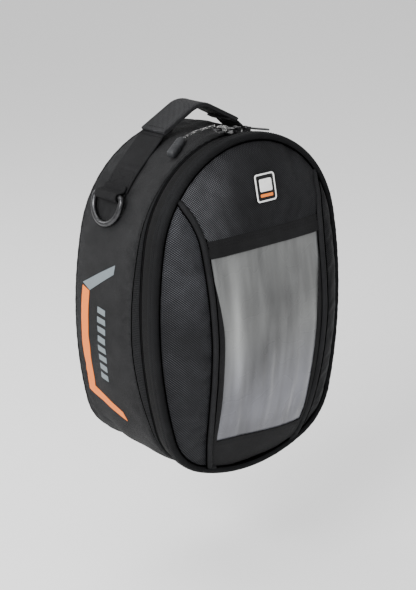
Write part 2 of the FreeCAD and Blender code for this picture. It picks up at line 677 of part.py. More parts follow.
layer("lid_foam", dim("lid_foam_top"), dim("lid_foam_low"))
layer("lid_lining", dim("lid_foam_low") + 0.2, dim("lid_lining_low"))
pk0, pk1 = dim("pocket_top"), dim("pocket_low")
back_rows = [[(x, z) for x in spread(-seam_half_width(z) + sh + 1.2, seam_half_width(z) - sh - 1.2, 6)]
             for z in spread(33, dim("pocket_mouth"), 10)]
feature("pocket_backing", [lid_sheet(back_rows, lambda x, z: dome(x, z) - pk0, lambda x, z: dome(x, z) - pk1)])

bw, bt, bcx, bcz = dim("badge_wide") / 2, dim("badge_tall") / 2, dim("badge_x"), dim("badge_height")
badge_rows = [[(x, z) for x in spread(bcx - bw, bcx + bw, 6)] for z in spread(bcz - bt, bcz + bt, 6)]
feature("badge", [lid_sheet(badge_rows, lambda x, z: dome(x, z) + 1.2, lambda x, z: dome(x, z) + 0.3)])
bar_rows = [[(x, z) for x in spread(bcx - 6.5, bcx + 6.5, 4)] for z in spread(bcz - 7.6, bcz - 5.2, 2)]
feature("badge_bar", [lid_sheet(bar_rows, lambda x, z: dome(x, z) + 1.8, lambda x, z: dome(x, z) + 1.5)])

# ---------------------------------------------------------------- zip sliders and pulls
zl = dim("zip_line")
sw, sa = dim("slider_half_wide"), dim("slider_half_angle")


def slider(name, centre, lug):
    high = arc_block(name + "_top_plate", "Dims.slot_high", "Dims.plate_high", zl - sw, zl + sw, centre - sa, centre + sa)
    low = arc_block(name + "_low_plate", "Dims.plate_low", "Dims.slot_low", zl - sw + 0.4, zl + sw - 0.4,
                    centre - sa, centre + sa)
    post = arc_block(name + "_post", "Dims.slot_low - 0.3", "Dims.slot_high + 0.3", zl - 0.55, zl + 0.55,
                     centre - 1.0, centre + 1.0)
    lug_a = arc_block(name + "_lug_a", "Dims.plate_high - 0.3", "Dims.lug_top", zl + 1.95, zl + 3.2, lug - 1.1, lug + 1.1)
    lug_b = arc_block(name + "_lug_b", "Dims.plate_high - 0.3", "Dims.lug_top", zl - 3.2, zl - 1.95, lug - 1.1, lug + 1.1)
    px, pz = on_arc(dim("lug_radius"), lug)
    pin = rod(name + "_pin", "Dims.pin_radius", "6.0", Vector(px, zl + SHIFT, pz), (0, 1, 0))
    return keep(name, fuse(name, [high, low, post, lug_a, lug_b, pin])), Vector(px, zl + SHIFT, pz)


_, pin_left = slider("slider_left", dim("left_slider_angle"), dim("left_lug_angle"))
_, pin_right = slider("slider_right", dim("right_slider_angle"), dim("right_lug_angle"))


def line_loop(points):
    pts = [Vector(x, y, 0) for x, y in points]
    return [Part.LineSegment(p, q) for p, q in zip(pts, pts[1:] + pts[:1])]


def pull(name, pin, direction, loops):
    """Flat pull tab with a round eye on the slider's pin. Profile: length along the tab, then width."""
    body = doc.addObject("PartDesign::Body", name + "_plate")
    sketch = body.newObject("Sketcher::SketchObject", name + "_profile")
    sketch.AttachmentSupport = [(plane_of(body, "XY_Plane"), "")]
    sketch.MapMode = "FlatFace"
    for loop in loops:
        for g in loop:
            sketch.addGeometry(g, False)
    sketch.setExpression("AttachmentOffset.Base.z", "-Dims.tab_thick / 2")
    pad = body.newObject("PartDesign::Pad", name + "_pad")
    pad.Profile = sketch
    pad.setExpression("Length", "Dims.tab_thick")
    body.Tip = pad
    along = Vector(direction).normalize()
    across = Vector(0, 1, 0)
    up = along.cross(across)
    body.Placement = Placement(pin, Rotation(along, across, up, "XYZ"))
    barrel = rod(name + "_barrel", "Dims.barrel_radius", "Dims.barrel_half + Dims.barrel_half", pin, (0, 1, 0))
    eye = rod(name + "_eye", "Dims.eye_radius", "12.0", pin, (0, 1, 0))
    return keep(name, cut(name, fuse(name + "_solid", [body, barrel]), eye))


def stadium(x0, x1, r):
    return [Part.LineSegment(Vector(x0, -r, 0), Vector(x1, -r, 0)), circ(x1, 0, r, -90, 90),
            Part.LineSegment(Vector(x1, r, 0), Vector(x0, r, 0)), circ(x0, 0, r, 90, 270)]


rise = math.radians(dim("left_tab_rise"))
left_dir = Vector(-math.cos(rise), 0, math.sin(rise))
left_profile = [
    Part.LineSegment(Vector(1.0, -1.5, 0), Vector(4.0, -1.5, 0)), Part.LineSegment(Vector(4.0, -1.5, 0), Vector(6.5, -4.2, 0)),
    Part.LineSegment(Vector(6.5, -4.2, 0), Vector(22.3, -4.2, 0)), circ(22.3, 0, 4.2, -90, 90),
    Part.LineSegment(Vector(22.3, 4.2, 0), Vector(6.5, 4.2, 0)), Part.LineSegment(Vector(6.5, 4.2, 0), Vector(4.0, 1.5, 0)),
    Part.LineSegment(Vector(4.0, 1.5, 0), Vector(1.0, 1.5, 0)), Part.LineSegment(Vector(1.0, 1.5, 0), Vector(1.0, -1.5, 0))]
pull("pull_tab_left", pin_left, left_dir, [left_profile, stadium(9.5, 22.3, 2.5)])

rise_r = math.radians(dim("right_tab_rise"))
right_dir = Vector(math.cos(rise_r), 0, math.sin(rise_r))
right_profile = [
    Part.LineSegment(Vector(1.0, -1.5, 0), Vector(4.0, -1.5, 0)), Part.LineSegment(Vector(4.0, -1.5, 0), Vector(6.5, -3.3, 0)),
    Part.LineSegment(Vector(6.5, -3.3, 0), Vector(21.9, -3.3, 0)), circ(21.9, 0, 3.3, -90, 90),
    Part.LineSegment(Vector(21.9, 3.3, 0), Vector(6.5, 3.3, 0)), Part.LineSegment(Vector(6.5, 3.3, 0), Vector(4.0, 1.5, 0)),
    Part.LineSegment(Vector(4.0, 1.5, 0), Vector(1.0, 1.5, 0)), Part.LineSegment(Vector(1.0, 1.5, 0), Vector(1.0, -1.5, 0))]
hole = [Part.Circle(Vector(21.9, 0, 0), Vector(0, 0, 1), 1.5)]
pull("pull_tab_right", pin_right, right_dir, [right_profile, hole])

# the cord's wrap round the ring of the pull: a sleeve that leaves the tab's section free
k0, k1 = dim("knot_from"), dim("knot_to")
knot_c = pin_left + left_dir * ((k0 + k1) / 2)
knot_rod = rod("knot_outer", "Dims.knot_radius", "Dims.knot_to - Dims.knot_from", knot_c, left_dir)
knot_slot = doc.addObject("Part::Box", "knot_slot")
knot_slot.Length, knot_slot.Width, knot_slot.Height = 30, 8.5, 1.5
up_dir = left_dir.cross(Vector(0, 1, 0))
knot_slot.Placement = Placement(pin_left + left_dir * (k0 - 5) - Vector(0, 4.25, 0) - up_dir * 0.75,
                                Rotation(left_dir, Vector(0, 1, 0), up_dir, "XYZ"))
keep("pull_cord_knot", cut("pull_cord_knot", knot_rod, knot_slot))

# the cord: straight runs joined by tangent arcs, each arc as large as its runs allow
ROUTE = [(-13.0, 26.4, 306.4), (-18.6, 30.4, 304.4), (-24.4, 35.2, 302.6), (-30.0, 39.2, 299.9), (-37.0, 41.5, 296.2)]


def cord_path(points):
    pts = [Vector(x, y + SHIFT, z) for x, y, z in points]
    edges, start, radii = [], pts[0], []
    for i in range(1, len(pts) - 1):
        a, b, c = pts[i - 1], pts[i], pts[i + 1]
        u, v = (a - b), (c - b)
        run = min(u.Length, v.Length)
        u.normalize()
        v.normalize()
        turn = math.pi - u.getAngle(v)
        cut_len = 0.45 * run
        radii.append(cut_len / math.tan(turn / 2))
        p, q = b + u * cut_len, b + v * cut_len
        mid_dir = (u + v).normalize()
        centre = b + mid_dir * (radii[-1] / math.cos(turn / 2))
        m = centre - mid_dir * radii[-1]
        edges += [Part.LineSegment(start, p).toShape(), Part.Arc(p, m, q).toShape()]
        start = q
    edges.append(Part.LineSegment(start, pts[-1]).toShape())
    return Part.Wire(edges), pts, radii


cord_wire, cord_pts, cord_radii = cord_path(ROUTE)
first = (cord_pts[1] - cord_pts[0]).normalize()
disc = Part.Wire([Part.makeCircle(dim("cord_wide") / 2.0, cord_pts[0], first)])
cord_tube = cord_wire.makePipeShell([disc], True, False)
feature("pull_cord", [cord_tube if cord_tube.ShapeType == "Solid" else Part.Solid(cord_tube.Shells[0])])
print("cord radii", [round(r, 1) for r in cord_radii], "length", round(cord_wire.Length, 2),
      "volume ratio", round(cord_tube.Volume / (cord_wire.Length * math.pi * (dim("cord_wide") / 2) ** 2), 4))

# moulded rubber end on the cord
END_FROM, END_TO = (-36.3, 41.3, 296.6), (-56.3, 33.0, 287.0)
e0, e1 = Vector(END_FROM[0], END_FROM[1] + SHIFT, END_FROM[2]), Vector(END_TO[0], END_TO[1] + SHIFT, END_TO[2])
end_axis = (e1 - e0)
end_len = end_axis.Length
end_body = doc.addObject("PartDesign::Body", "pull_cord_end")
end_sketch = end_body.newObject("Sketcher::SketchObject", "cord_end_profile")
end_sketch.AttachmentSupport = [(plane_of(end_body, "XZ_Plane"), "")]
end_sketch.MapMode = "FlatFace"
er = dim("cord_end_radius")
for g in line_loop([(0, 0), (er * 0.72, 0), (er, 2.5), (er, end_len - 2.0), (er - 1.6, end_len), (0, end_len)]):
    end_sketch.addGeometry(g, False)
turned = end_body.newObject("PartDesign::Revolution", "cord_end_turned")
turned.Profile = end_sketch
turned.ReferenceAxis = (end_sketch, ["V_Axis"])
turned.Angle = 360
end_body.Tip = turned
end_body.Placement = Placement(e0, Rotation(Vector(0, 0, 1), end_axis))
keep("pull_cord_end", end_body)

# ---------------------------------------------------------------- recompute, test, write
doc.recompute()
bad = [o.Label for o in doc.Objects if "Invalid" in o.State or "Error" in o.State]
if bad:
    raise SystemExit("failed features: %s" % bad)
for name, obj in nodes.items():
    shape = obj.Shape
    if shape.isNull() or not shape.isValid():
        raise SystemExit("bad shape: %s" % name)
    if shape.Volume <= 0 or not shape.Solids:
        raise SystemExit("no solid: %s" % name)
total = None
for name, obj in sorted(nodes.items()):
    shape = obj.Shape
    bb = shape.BoundBox
    total = FreeCAD.BoundBox(bb) if total is None else total.united(bb)
    print("%-20s solids %d vol %9.1f  x %7.2f %7.2f  y %7.2f %7.2f  z %7.2f %7.2f" % (
        name, len(shape.Solids), shape.Volume, bb.XMin, bb.XMax, bb.YMin, bb.YMax, bb.ZMin, bb.ZMax))
    shape.exportStep("parts/%s.step" % name)
print("nodes", len(nodes), "box", total)
print("top arc centre height %.3f  wall radius %.3f" % (ZC, R_GUSSET))
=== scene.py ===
import math
import bpy
import bmesh
import numpy as np
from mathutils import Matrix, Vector


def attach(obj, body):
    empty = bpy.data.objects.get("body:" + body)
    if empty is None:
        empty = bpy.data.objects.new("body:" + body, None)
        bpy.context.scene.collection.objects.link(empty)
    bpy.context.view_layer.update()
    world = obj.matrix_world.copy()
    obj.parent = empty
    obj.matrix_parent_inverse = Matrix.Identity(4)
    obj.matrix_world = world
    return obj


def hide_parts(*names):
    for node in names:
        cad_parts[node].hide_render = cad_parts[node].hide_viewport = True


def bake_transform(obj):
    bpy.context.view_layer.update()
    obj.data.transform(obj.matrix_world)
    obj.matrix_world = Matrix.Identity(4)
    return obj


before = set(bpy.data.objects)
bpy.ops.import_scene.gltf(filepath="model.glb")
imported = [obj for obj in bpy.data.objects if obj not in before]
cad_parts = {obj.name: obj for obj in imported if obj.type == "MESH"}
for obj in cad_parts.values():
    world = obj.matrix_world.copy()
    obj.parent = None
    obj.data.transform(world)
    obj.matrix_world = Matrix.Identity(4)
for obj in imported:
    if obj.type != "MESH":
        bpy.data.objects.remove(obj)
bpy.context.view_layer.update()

# Everything below is in millimetres until a mesh is made. "y" is measured from the lid's rim plane
# towards the tank side, "s" along the side wall's outline from the top centre (left is negative).
SHIFT = -50.7
ZC = 200.5748
A = np.radians([0.0, 79.0, 104.3, 156.4, 180.0])
ARCS = {
    "rim": np.array([(0, 200.5748, 100.84), (-283.930, 145.384, 390.0845), (38.834, 63.113, 57.0), (0, 152.0, 154.0)]),
    "gus": np.array([(0, 200.5748, 97.44), (-283.930, 145.384, 386.6845), (33.989, 64.348, 58.6), (0, 142.145, 143.498)]),
}
G = ARCS["gus"]
S_BREAK = np.concatenate([[0.0], np.cumsum([G[i][2] * (A[i + 1] - A[i]) for i in range(4)])])
HALF = float(S_BREAK[-1])


def theta(s):
    """Outward angle from +Z towards +X at the distance s round the outline."""
    return np.sign(s) * np.interp(np.abs(s), S_BREAK, A)


def s_of(th):
    return np.sign(th) * np.interp(np.abs(th), A, S_BREAK)


def ring_xz(kind, inset, th, clip=0.0):
    th = np.asarray(th, float)
    a = np.abs(th)
    sg = np.where(th < 0, -1.0, 1.0)
    k = np.clip(np.searchsorted(A, a, side="right") - 1, 0, 3)
    c = ARCS[kind][k]
    r = c[..., 2] - inset
    x = (c[..., 0] + r * np.sin(a)) * sg
    z = c[..., 1] + r * np.cos(a)
    return x, np.maximum(z, -2.1 + 0.2 * clip)


def depth(z):
    return 118.4 - 0.08 * (z - 150.0)


def pchip(table, z):
    z = np.asarray(z, float)
    xs, ys = np.array([p[0] for p in table], float), np.array([p[1] for p in table], float)
    d = np.diff(ys) / np.diff(xs)
    m = np.zeros(len(xs))
    m[0], m[-1] = d[0], d[-1]
    for i in range(1, len(xs) - 1):
        m[i] = 0.0 if d[i - 1] * d[i] <= 0 else 2 * d[i - 1] * d[i] / (d[i - 1] + d[i])
    zc = np.clip(z, xs[0], xs[-1])
    k = np.clip(np.searchsorted(xs, zc, side="right") - 1, 0, len(xs) - 2)
    w = xs[k + 1] - xs[k]
    t = (zc - xs[k]) / w
    return ((2 * t ** 3 - 3 * t ** 2 + 1) * ys[k] + (t ** 3 - 2 * t ** 2 + t) * m[k] * w
            + (-2 * t ** 3 + 3 * t ** 2) * ys[k + 1] + (t ** 3 - t ** 2) * m[k + 1] * w)


CENTRE = [(6, 0), (14, 4.5), (30, 9.5), (60, 18.5), (90, 24.5), (120, 28), (150, 29), (180, 26.5), (216, 21.5),
          (240, 19.5), (260, 17), (275, 12.5), (287, 6.5), (295.4, 0)]
SEAM_H = [(11, 0), (30, 7), (50, 13), (80, 20), (110, 25), (140, 27.5), (170, 26), (200, 22), (223, 18), (240, 12.5),
          (252, 5), (259, 0)]
SEAM_X = [(11, 50), (30, 55.5), (50, 59), (90, 61.5), (140, 62.5), (180, 63), (223, 65), (245, 70), (259, 75.6)]
_th = np.linspace(0, math.pi, 4000)
_rx, _rz = ring_xz("rim", 6.1, _th, 0.5)


def rim_half(z):
    return np.interp(z, _rz[::-1], _rx[::-1])


def seam_half(z):
    return np.minimum(pchip(SEAM_X, z), rim_half(z))


def dome(x, z):
    x = np.abs(x)
    w, s = rim_half(z), seam_half(z)
    hc = pchip(CENTRE, z)
    hs = np.minimum(np.where(w - s > 0.3, pchip(SEAM_H, z), 0.0), hc)
    inner = hc + (hs - hc) * np.minimum(x / np.maximum(s, 1.0), 1.0) ** 2
    t = np.clip((x - s) / np.maximum(w - s, 0.3), 0, 1)
    return np.where((x <= s) | (w - s < 0.3), inner, hs * (1 - t ** 1.5))


def smooth(a, b, v):
    t = np.clip((np.asarray(v, float) - a) / (b - a), 0, 1)
    return t * t * (3 - 2 * t)


_lattice = {}


def noise(u, v, seed, pu=64, pv=64):
    """Smooth seeded noise in -1..1, repeating after pu cells along u and pv along v."""
    if (seed, pu, pv) not in _lattice:
        _lattice[(seed, pu, pv)] = np.random.RandomState(seed).rand(pu, pv) * 2 - 1
    t = _lattice[(seed, pu, pv)]
    iu, iv = np.floor(u).astype(int), np.floor(v).astype(int)
    fu, fv = u - iu, v - iv
    fu, fv = fu * fu * fu * (fu * (fu * 6 - 15) + 10), fv * fv * fv * (fv * (fv * 6 - 15) + 10)
    a, b = t[iu % pu, iv % pv], t[(iu + 1) % pu, iv % pv]
    c, d = t[iu % pu, (iv + 1) % pv], t[(iu + 1) % pu, (iv + 1) % pv]
    return (a + (b - a) * fu) * (1 - fv) + (c + (d - c) * fu) * fv


# ---------------------------------------------------------------- mesh helpers
def make_obj(name, V, F, UV=None, mat=None, body=None, slot=None, repl=(), sharp=None, fix=True):
    """V in millimetres with y from the rim plane already shifted. UV is a list of one (u, v) per face corner."""
    me = bpy.data.meshes.new(name)
    me.from_pydata((np.asarray(V, float) / 1000.0).tolist(), [], [list(map(int, f)) for f in F])
    if UV is not None:
        layer = me.uv_layers.new(name="fab")
        layer.data.foreach_set("uv", (np.asarray(UV, float) / 1000.0).astype(np.float32).ravel())
    if fix:
        bm = bmesh.new()
        bm.from_mesh(me)
        bmesh.ops.recalc_face_normals(bm, faces=bm.faces)
        bm.to_mesh(me)
        bm.free()
    me.polygons.foreach_set("use_smooth", [True] * len(me.polygons))
    if sharp is not None:
        me.set_sharp_from_angle(angle=math.radians(sharp))
    me.validate()
    o = bpy.data.objects.new(name, me)
    bpy.context.scene.collection.objects.link(o)
    if mat is not None:
        me.materials.append(mat)
    if body:
        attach(o, body)
    if repl:
        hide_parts(*repl)
    return o


def grid_faces(nu, nv, wrap_u=False, wrap_v=False, off=0, flip=False):
    iu = np.arange(nu if wrap_u else nu - 1)
    iv = np.arange(nv if wrap_v else nv - 1)
    I, J = np.meshgrid(iu, iv, indexing="ij")
    I2, J2 = (I + 1) % nu, (J + 1) % nv
    q = np.stack([I * nv + J, I2 * nv + J, I2 * nv + J2, I * nv + J2], -1).reshape(-1, 4) + off
    corner = np.stack([np.stack([I, J], -1), np.stack([I + 1, J], -1), np.stack([I + 1, J + 1], -1),
                       np.stack([I, J + 1], -1)], -2).reshape(-1, 4, 2)
    if flip:
        q, corner = q[:, ::-1], corner[:, ::-1]
    return q, corner


def normals(P, wrap_u=False, wrap_v=False):
    def d(P, ax, wrap):
        if wrap:
            return np.roll(P, -1, ax) - np.roll(P, 1, ax)
        return np.gradient(P, axis=ax)
    n = np.cross(d(P, 0, wrap_u), d(P, 1, wrap_v))
    return n / np.maximum(np.linalg.norm(n, axis=-1, keepdims=True), 1e-9)


def sweep_obj(name, P, U, Vv, wrap_u=False, **kw):
    """P (nu, nv, 3): closed cross-sections (v wraps) swept along u, capped at its ends unless u wraps.
    U (nu+1) and Vv (nv+1): fabric coordinates."""
    nu, nv = P.shape[:2]
    F, C = grid_faces(nu, nv, wrap_u, True)
    UV = np.stack([np.asarray(U)[C[..., 0]], np.asarray(Vv)[C[..., 1]]], -1).reshape(-1, 2)
    faces, uvs, verts = [list(f) for f in F], [UV], [P.reshape(-1, 3)]
    if not wrap_u:
        base = nu * nv
        for end, rev in ((0, False), (nu - 1, True)):
            verts.append(P[end].mean(0)[None])
            for j in range(nv):
                a, b = end * nv + j, end * nv + (j + 1) % nv
                tri = [base, b, a] if rev else [base, a, b]
                faces.append(tri)
                uvs.append(np.array([[U[end], Vv[j]]] * 3))
            base += 1
    return make_obj(name, np.concatenate(verts), faces, np.concatenate(uvs), **kw)


def sheet_obj(name, P, N, thick, U, Vv, wrap_u=False, **kw):
    """A closed sheet: P is its outer side, N the outward normals. U (nu, nv) and Vv (nu, nv) fabric coordinates
    (one more row of U when u wraps)."""
    nu, nv = P.shape[:2]
    Q = P - N * thick
    n = nu * nv
    F1, C = grid_faces(nu, nv, wrap_u, False)
    F2, C2 = grid_faces(nu, nv, wrap_u, False, off=n, flip=True)
    faces, cs = [F1, F2], [C, C2]
    I = np.arange(nu if wrap_u else nu - 1)
    for j in (0, nv - 1):
        a, b = I * nv + j, ((I + 1) % nu) * nv + j
        q = np.stack([a, b, b + n, a + n], -1)
        c = np.stack([np.stack([I, I * 0 + j], -1), np.stack([I + 1, I * 0 + j], -1)] * 2, -2)
        c[:, 2], c[:, 3] = c[:, 1].copy(), c[:, 0].copy()
        if j == 0:
            q, c = q[:, ::-1], c[:, ::-1]
        faces.append(q)
        cs.append(c)
    if not wrap_u:
        J = np.arange(nv - 1)
        for i in (0, nu - 1):
            a, b = i * nv + J, i * nv + J + 1
            q = np.stack([a, b, b + n, a + n], -1)
            c = np.stack([np.stack([J * 0 + i, J], -1), np.stack([J * 0 + i, J + 1], -1)] * 2, -2)
            c[:, 2], c[:, 3] = c[:, 1].copy(), c[:, 0].copy()
            if i == nu - 1:
                q, c = q[:, ::-1], c[:, ::-1]
            faces.append(q)
            cs.append(c)
    F, C = np.concatenate(faces), np.concatenate(cs)
    UV = np.stack([U[C[..., 0], C[..., 1]], Vv[C[..., 0], C[..., 1]]], -1).reshape(-1, 2)
    return make_obj(name, np.concatenate([P.reshape(-1, 3), Q.reshape(-1, 3)]), F, UV, **kw)


def frames_along(pts, up):
    """Tangent, side and normal along a polyline; up is the wished normal at each point."""
    t = np.gradient(pts, axis=0)
    t /= np.maximum(np.linalg.norm(t, axis=1, keepdims=True), 1e-9)
    up = np.broadcast_to(np.asarray(up, float), pts.shape)
    n = up - t * (up * t).sum(1, keepdims=True)
    n /= np.maximum(np.linalg.norm(n, axis=1, keepdims=True), 1e-9)
    return t, np.cross(t, n), n


def arclen(pts):
    return np.concatenate([[0], np.cumsum(np.linalg.norm(np.diff(pts, axis=0), axis=1))])


def resample(pts, step):
    L = arclen(pts)
    n = max(int(round(L[-1] / step)), 2) + 1
    q = np.linspace(0, L[-1], n)
    return np.stack([np.interp(q, L, pts[:, k]) for k in range(3)], 1)


def catmull(pts, n):
    pts = np.asarray(pts, float)
    P = np.vstack([2 * pts[0] - pts[1], pts, 2 * pts[-1] - pts[-2]])
    out = []
    for i in range(len(pts) - 1):
        a, b, c, d = P[i:i + 4]
        t = np.linspace(0, 1, n, endpoint=False)[:, None]
        out.append(0.5 * ((2 * b) + (-a + c) * t + (2 * a - 5 * b + 4 * c - d) * t ** 2 + (-a + 3 * b - 3 * c + d) * t ** 3))
    return np.vstack(out + [pts[-1:]])


def rounded_section(w, t, r=None, k=3):
    """Points of a rounded rectangle, w wide and t thick, centred, counter-clockwise."""
    r = min(w, t) * 0.42 if r is None else r
    out = []
    for cx, cy, a0 in ((w / 2 - r, t / 2 - r, 0), (-w / 2 + r, t / 2 - r, 90), (-w / 2 + r, -t / 2 + r, 180),
                       (w / 2 - r, -t / 2 + r, 270)):
        for i in range(k + 1):
            a = math.radians(a0 + 90.0 * i / k)
            out.append((cx + r * math.cos(a), cy + r * math.sin(a)))
    return np.array(out)


def belt_section(w, t, n=16, crown=0.0):
    """Webbing across its width: flat faces with points every couple of millimetres and thick soft selvedges."""
    x = np.linspace(-w / 2 + t / 2, w / 2 - t / 2, n)
    e = 0.12 * np.exp(-((np.abs(x) - (w / 2 - 1.6)) / 0.8) ** 2)
    top = np.stack([x[::-1], t / 2 + e + crown * (1 - (2 * x[::-1] / w) ** 2)], 1)
    low = np.stack([x, -t / 2 - e + crown * (1 - (2 * x / w) ** 2)], 1)
    ang = np.radians([60, 0, -60])
    right = np.stack([w / 2 - t / 2 + np.cos(ang) * t / 2, np.sin(ang) * t / 2], 1)
    left = np.stack([-w / 2 + t / 2 - np.cos(ang[::-1]) * t / 2, np.sin(ang[::-1]) * t / 2], 1)
    return np.vstack([low, right[::-1], top, left[::-1]])


def sweep_path(pts, up, section, wobble=None):
    """Sections swept along pts: section x goes along the side direction, y along the normal."""
    t, side, n = frames_along(pts, up)
    P = pts[:, None, :] + side[:, None, :] * section[None, :, 0:1] + n[:, None, :] * section[None, :, 1:2]
    return P


def perimeter(section):
    d = np.linalg.norm(np.diff(np.vstack([section, section[:1]]), axis=0), axis=1)
    return np.concatenate([[0], np.cumsum(d)])


def tube_pts(pts, radius, up=(0, 0, 1), k=10):
    a = np.linspace(0, 2 * math.pi, k, endpoint=False)
    r = np.asarray(radius, float)
    sec = np.stack([np.cos(a), np.sin(a)], 1)
    t, side, n = frames_along(pts, up)
    r = np.broadcast_to(r, (len(pts),))[:, None, None]
    return pts[:, None, :] + r * (side[:, None, :] * sec[None, :, 0:1] + n[:, None, :] * sec[None, :, 1:2])


def tube_obj(name, pts, radius, up=(0, 0, 1), k=10, wrap=False, **kw):
    P = tube_pts(pts, radius, up, k)
    L = arclen(pts)
    U = np.concatenate([L, [L[-1] + (np.linalg.norm(pts[-1] - pts[0]))]])
    r = float(np.max(radius))
    return sweep_obj(name, P, U, np.linspace(0, 2 * math.pi * r, k + 1), wrap_u=wrap, **kw)


class Heap:
    """Many small closed pieces gathered into one object."""

    def __init__(self):
        self.v, self.f, self.uv, self.n = [], [], [], 0

    def add(self, V, F, UV=None):
        V = np.asarray(V, float)
        self.v.append(V)
        for f in F:
            self.f.append([int(i) + self.n for i in f])
        m = sum(len(f) for f in F)
        self.uv.append(np.zeros((m, 2)) if UV is None else np.asarray(UV, float).reshape(-1, 2))
        self.n += len(V)

    def sweep(self, P, U=None):
        nu, nv = P.shape[:2]
        F, C = grid_faces(nu, nv, False, True)
        U = np.arange(nu + 1) if U is None else U
        UV = np.stack([np.asarray(U)[C[..., 0]], C[..., 1] * 1.0], -1).reshape(-1, 2)
        faces = [list(f) for f in F] + [list(range(nv))[::-1], [(nu - 1) * nv + j for j in range(nv)]]
        self.add(P.reshape(-1, 3), faces, np.concatenate([UV, np.zeros((2 * nv, 2))]))

    def obj(self, name, **kw):
        return make_obj(name, np.concatenate(self.v), self.f, np.concatenate(self.uv), **kw)


def stitch_row(heap, pts, up, pitch=3.1, length=2.3, radius=0.3, lift=0.05, slant=0.0):
    """Thread stitches along pts, each a small bead that dips into the cloth at its ends."""
    L = arclen(pts)
    n = int(L[-1] // pitch)
    if n < 1:
        return
    up = np.broadcast_to(np.asarray(up, float), pts.shape)
    t_all, side_all, n_all = frames_along(pts, up)
    a = np.linspace(0, 2 * math.pi, 6, endpoint=False)
    sec = np.stack([np.cos(a), np.sin(a)], 1)
    prof = [(-0.5, 0.35, -0.28), (-0.3, 0.85, 0.02), (0.0, 1.0, 0.12), (0.3, 0.85, 0.02), (0.5, 0.35, -0.28)]
    start = (L[-1] - (n - 1) * pitch) / 2.0
    for i in range(n):
        q = start + i * pitch

        def at(arr, q=q):
            return np.array([np.interp(q, L, arr[:, k]) for k in range(3)])
        c, t, sd, nn = at(pts), at(t_all), at(side_all), at(n_all)
        t = t * math.cos(slant) + sd * math.sin(slant)
        t, nn = t / np.linalg.norm(t), nn / np.linalg.norm(nn)
        sd = np.cross(t, nn)
        rings = []
        for along, r, up_by in prof:
            o = c + t * along * length + nn * (lift + up_by)
            rings.append(o + radius * r * (sd[None] * sec[:, :1] + nn[None] * sec[:, 1:]))
        heap.sweep(np.array(rings))


class Field:
    """A table of values over two axes, read between its points."""

    def __init__(self, a, b, v):
        self.a, self.b, self.v = np.asarray(a, float), np.asarray(b, float), v

    def __call__(self, qa, qb):
        a, b, v = self.a, self.b, self.v
        i = np.clip(np.searchsorted(a, qa, side="right") - 1, 0, len(a) - 2)
        j = np.clip(np.searchsorted(b, qb, side="right") - 1, 0, len(b) - 2)
        f = np.clip((qa - a[i]) / (a[i + 1] - a[i]), 0, 1)
        g = np.clip((qb - b[j]) / (b[j + 1] - b[j]), 0, 1)
        return (v[i, j] * (1 - f) + v[i + 1, j] * f) * (1 - g) + (v[i, j + 1] * (1 - f) + v[i + 1, j + 1] * f) * g


def settle(P, N, pin, wrap_u, pressure, grow, cap, frames=20, bend=0.6):
    """Cloth simulation of a grid of points held where pin is true: the cloth, cut a little too large, is blown
    against its seams. Returns how far each point moved along its normal, in millimetres, never beyond cap."""
    nu, nv = P.shape[:2]
    F, _ = grid_faces(nu, nv, wrap_u, False)
    me = bpy.data.meshes.new("settle")
    me.from_pydata((P.reshape(-1, 3) / 1000.0).tolist(), [], [list(map(int, f)) for f in F])
    o = bpy.data.objects.new("settle", me)
    bpy.context.scene.collection.objects.link(o)
    if float((np.array([p.normal for p in me.polygons[:1]])[0] * N.reshape(-1, 3)[me.polygons[0].vertices[0]]).sum()) < 0:
        me.flip_normals()
    g = o.vertex_groups.new(name="pin")
    g.add([int(i) for i in np.nonzero(pin.ravel())[0]], 1.0, "REPLACE")
    mod = o.modifiers.new("cloth", "CLOTH")
    st = mod.settings
    st.quality = 6
    st.mass = 0.3
    st.tension_stiffness = st.compression_stiffness = 15.0
    st.shear_stiffness = 5.0
    st.bending_stiffness = bend
    st.use_pressure = True
    st.uniform_pressure_force = pressure
    st.shrink_min = -grow
    st.vertex_group_mass = "pin"
    st.effector_weights.gravity = 0.0
    mod.collision_settings.use_collision = False
    scene = bpy.context.scene
    mod.point_cache.frame_start, mod.point_cache.frame_end = 1, frames
    for f in range(1, frames + 1):
        scene.frame_set(f)
    ev = o.evaluated_get(bpy.context.evaluated_depsgraph_get())
    co = np.empty(len(ev.data.vertices) * 3)
    ev.data.vertices.foreach_get("co", co)
    d = ((co.reshape(nu, nv, 3) * 1000.0 - P) * N).sum(-1)
    bpy.data.objects.remove(o)
    bpy.data.meshes.remove(me)
    scene.frame_set(1)
    d = np.nan_to_num(d)
    return cap * np.tanh(d / cap)


SIM = {}


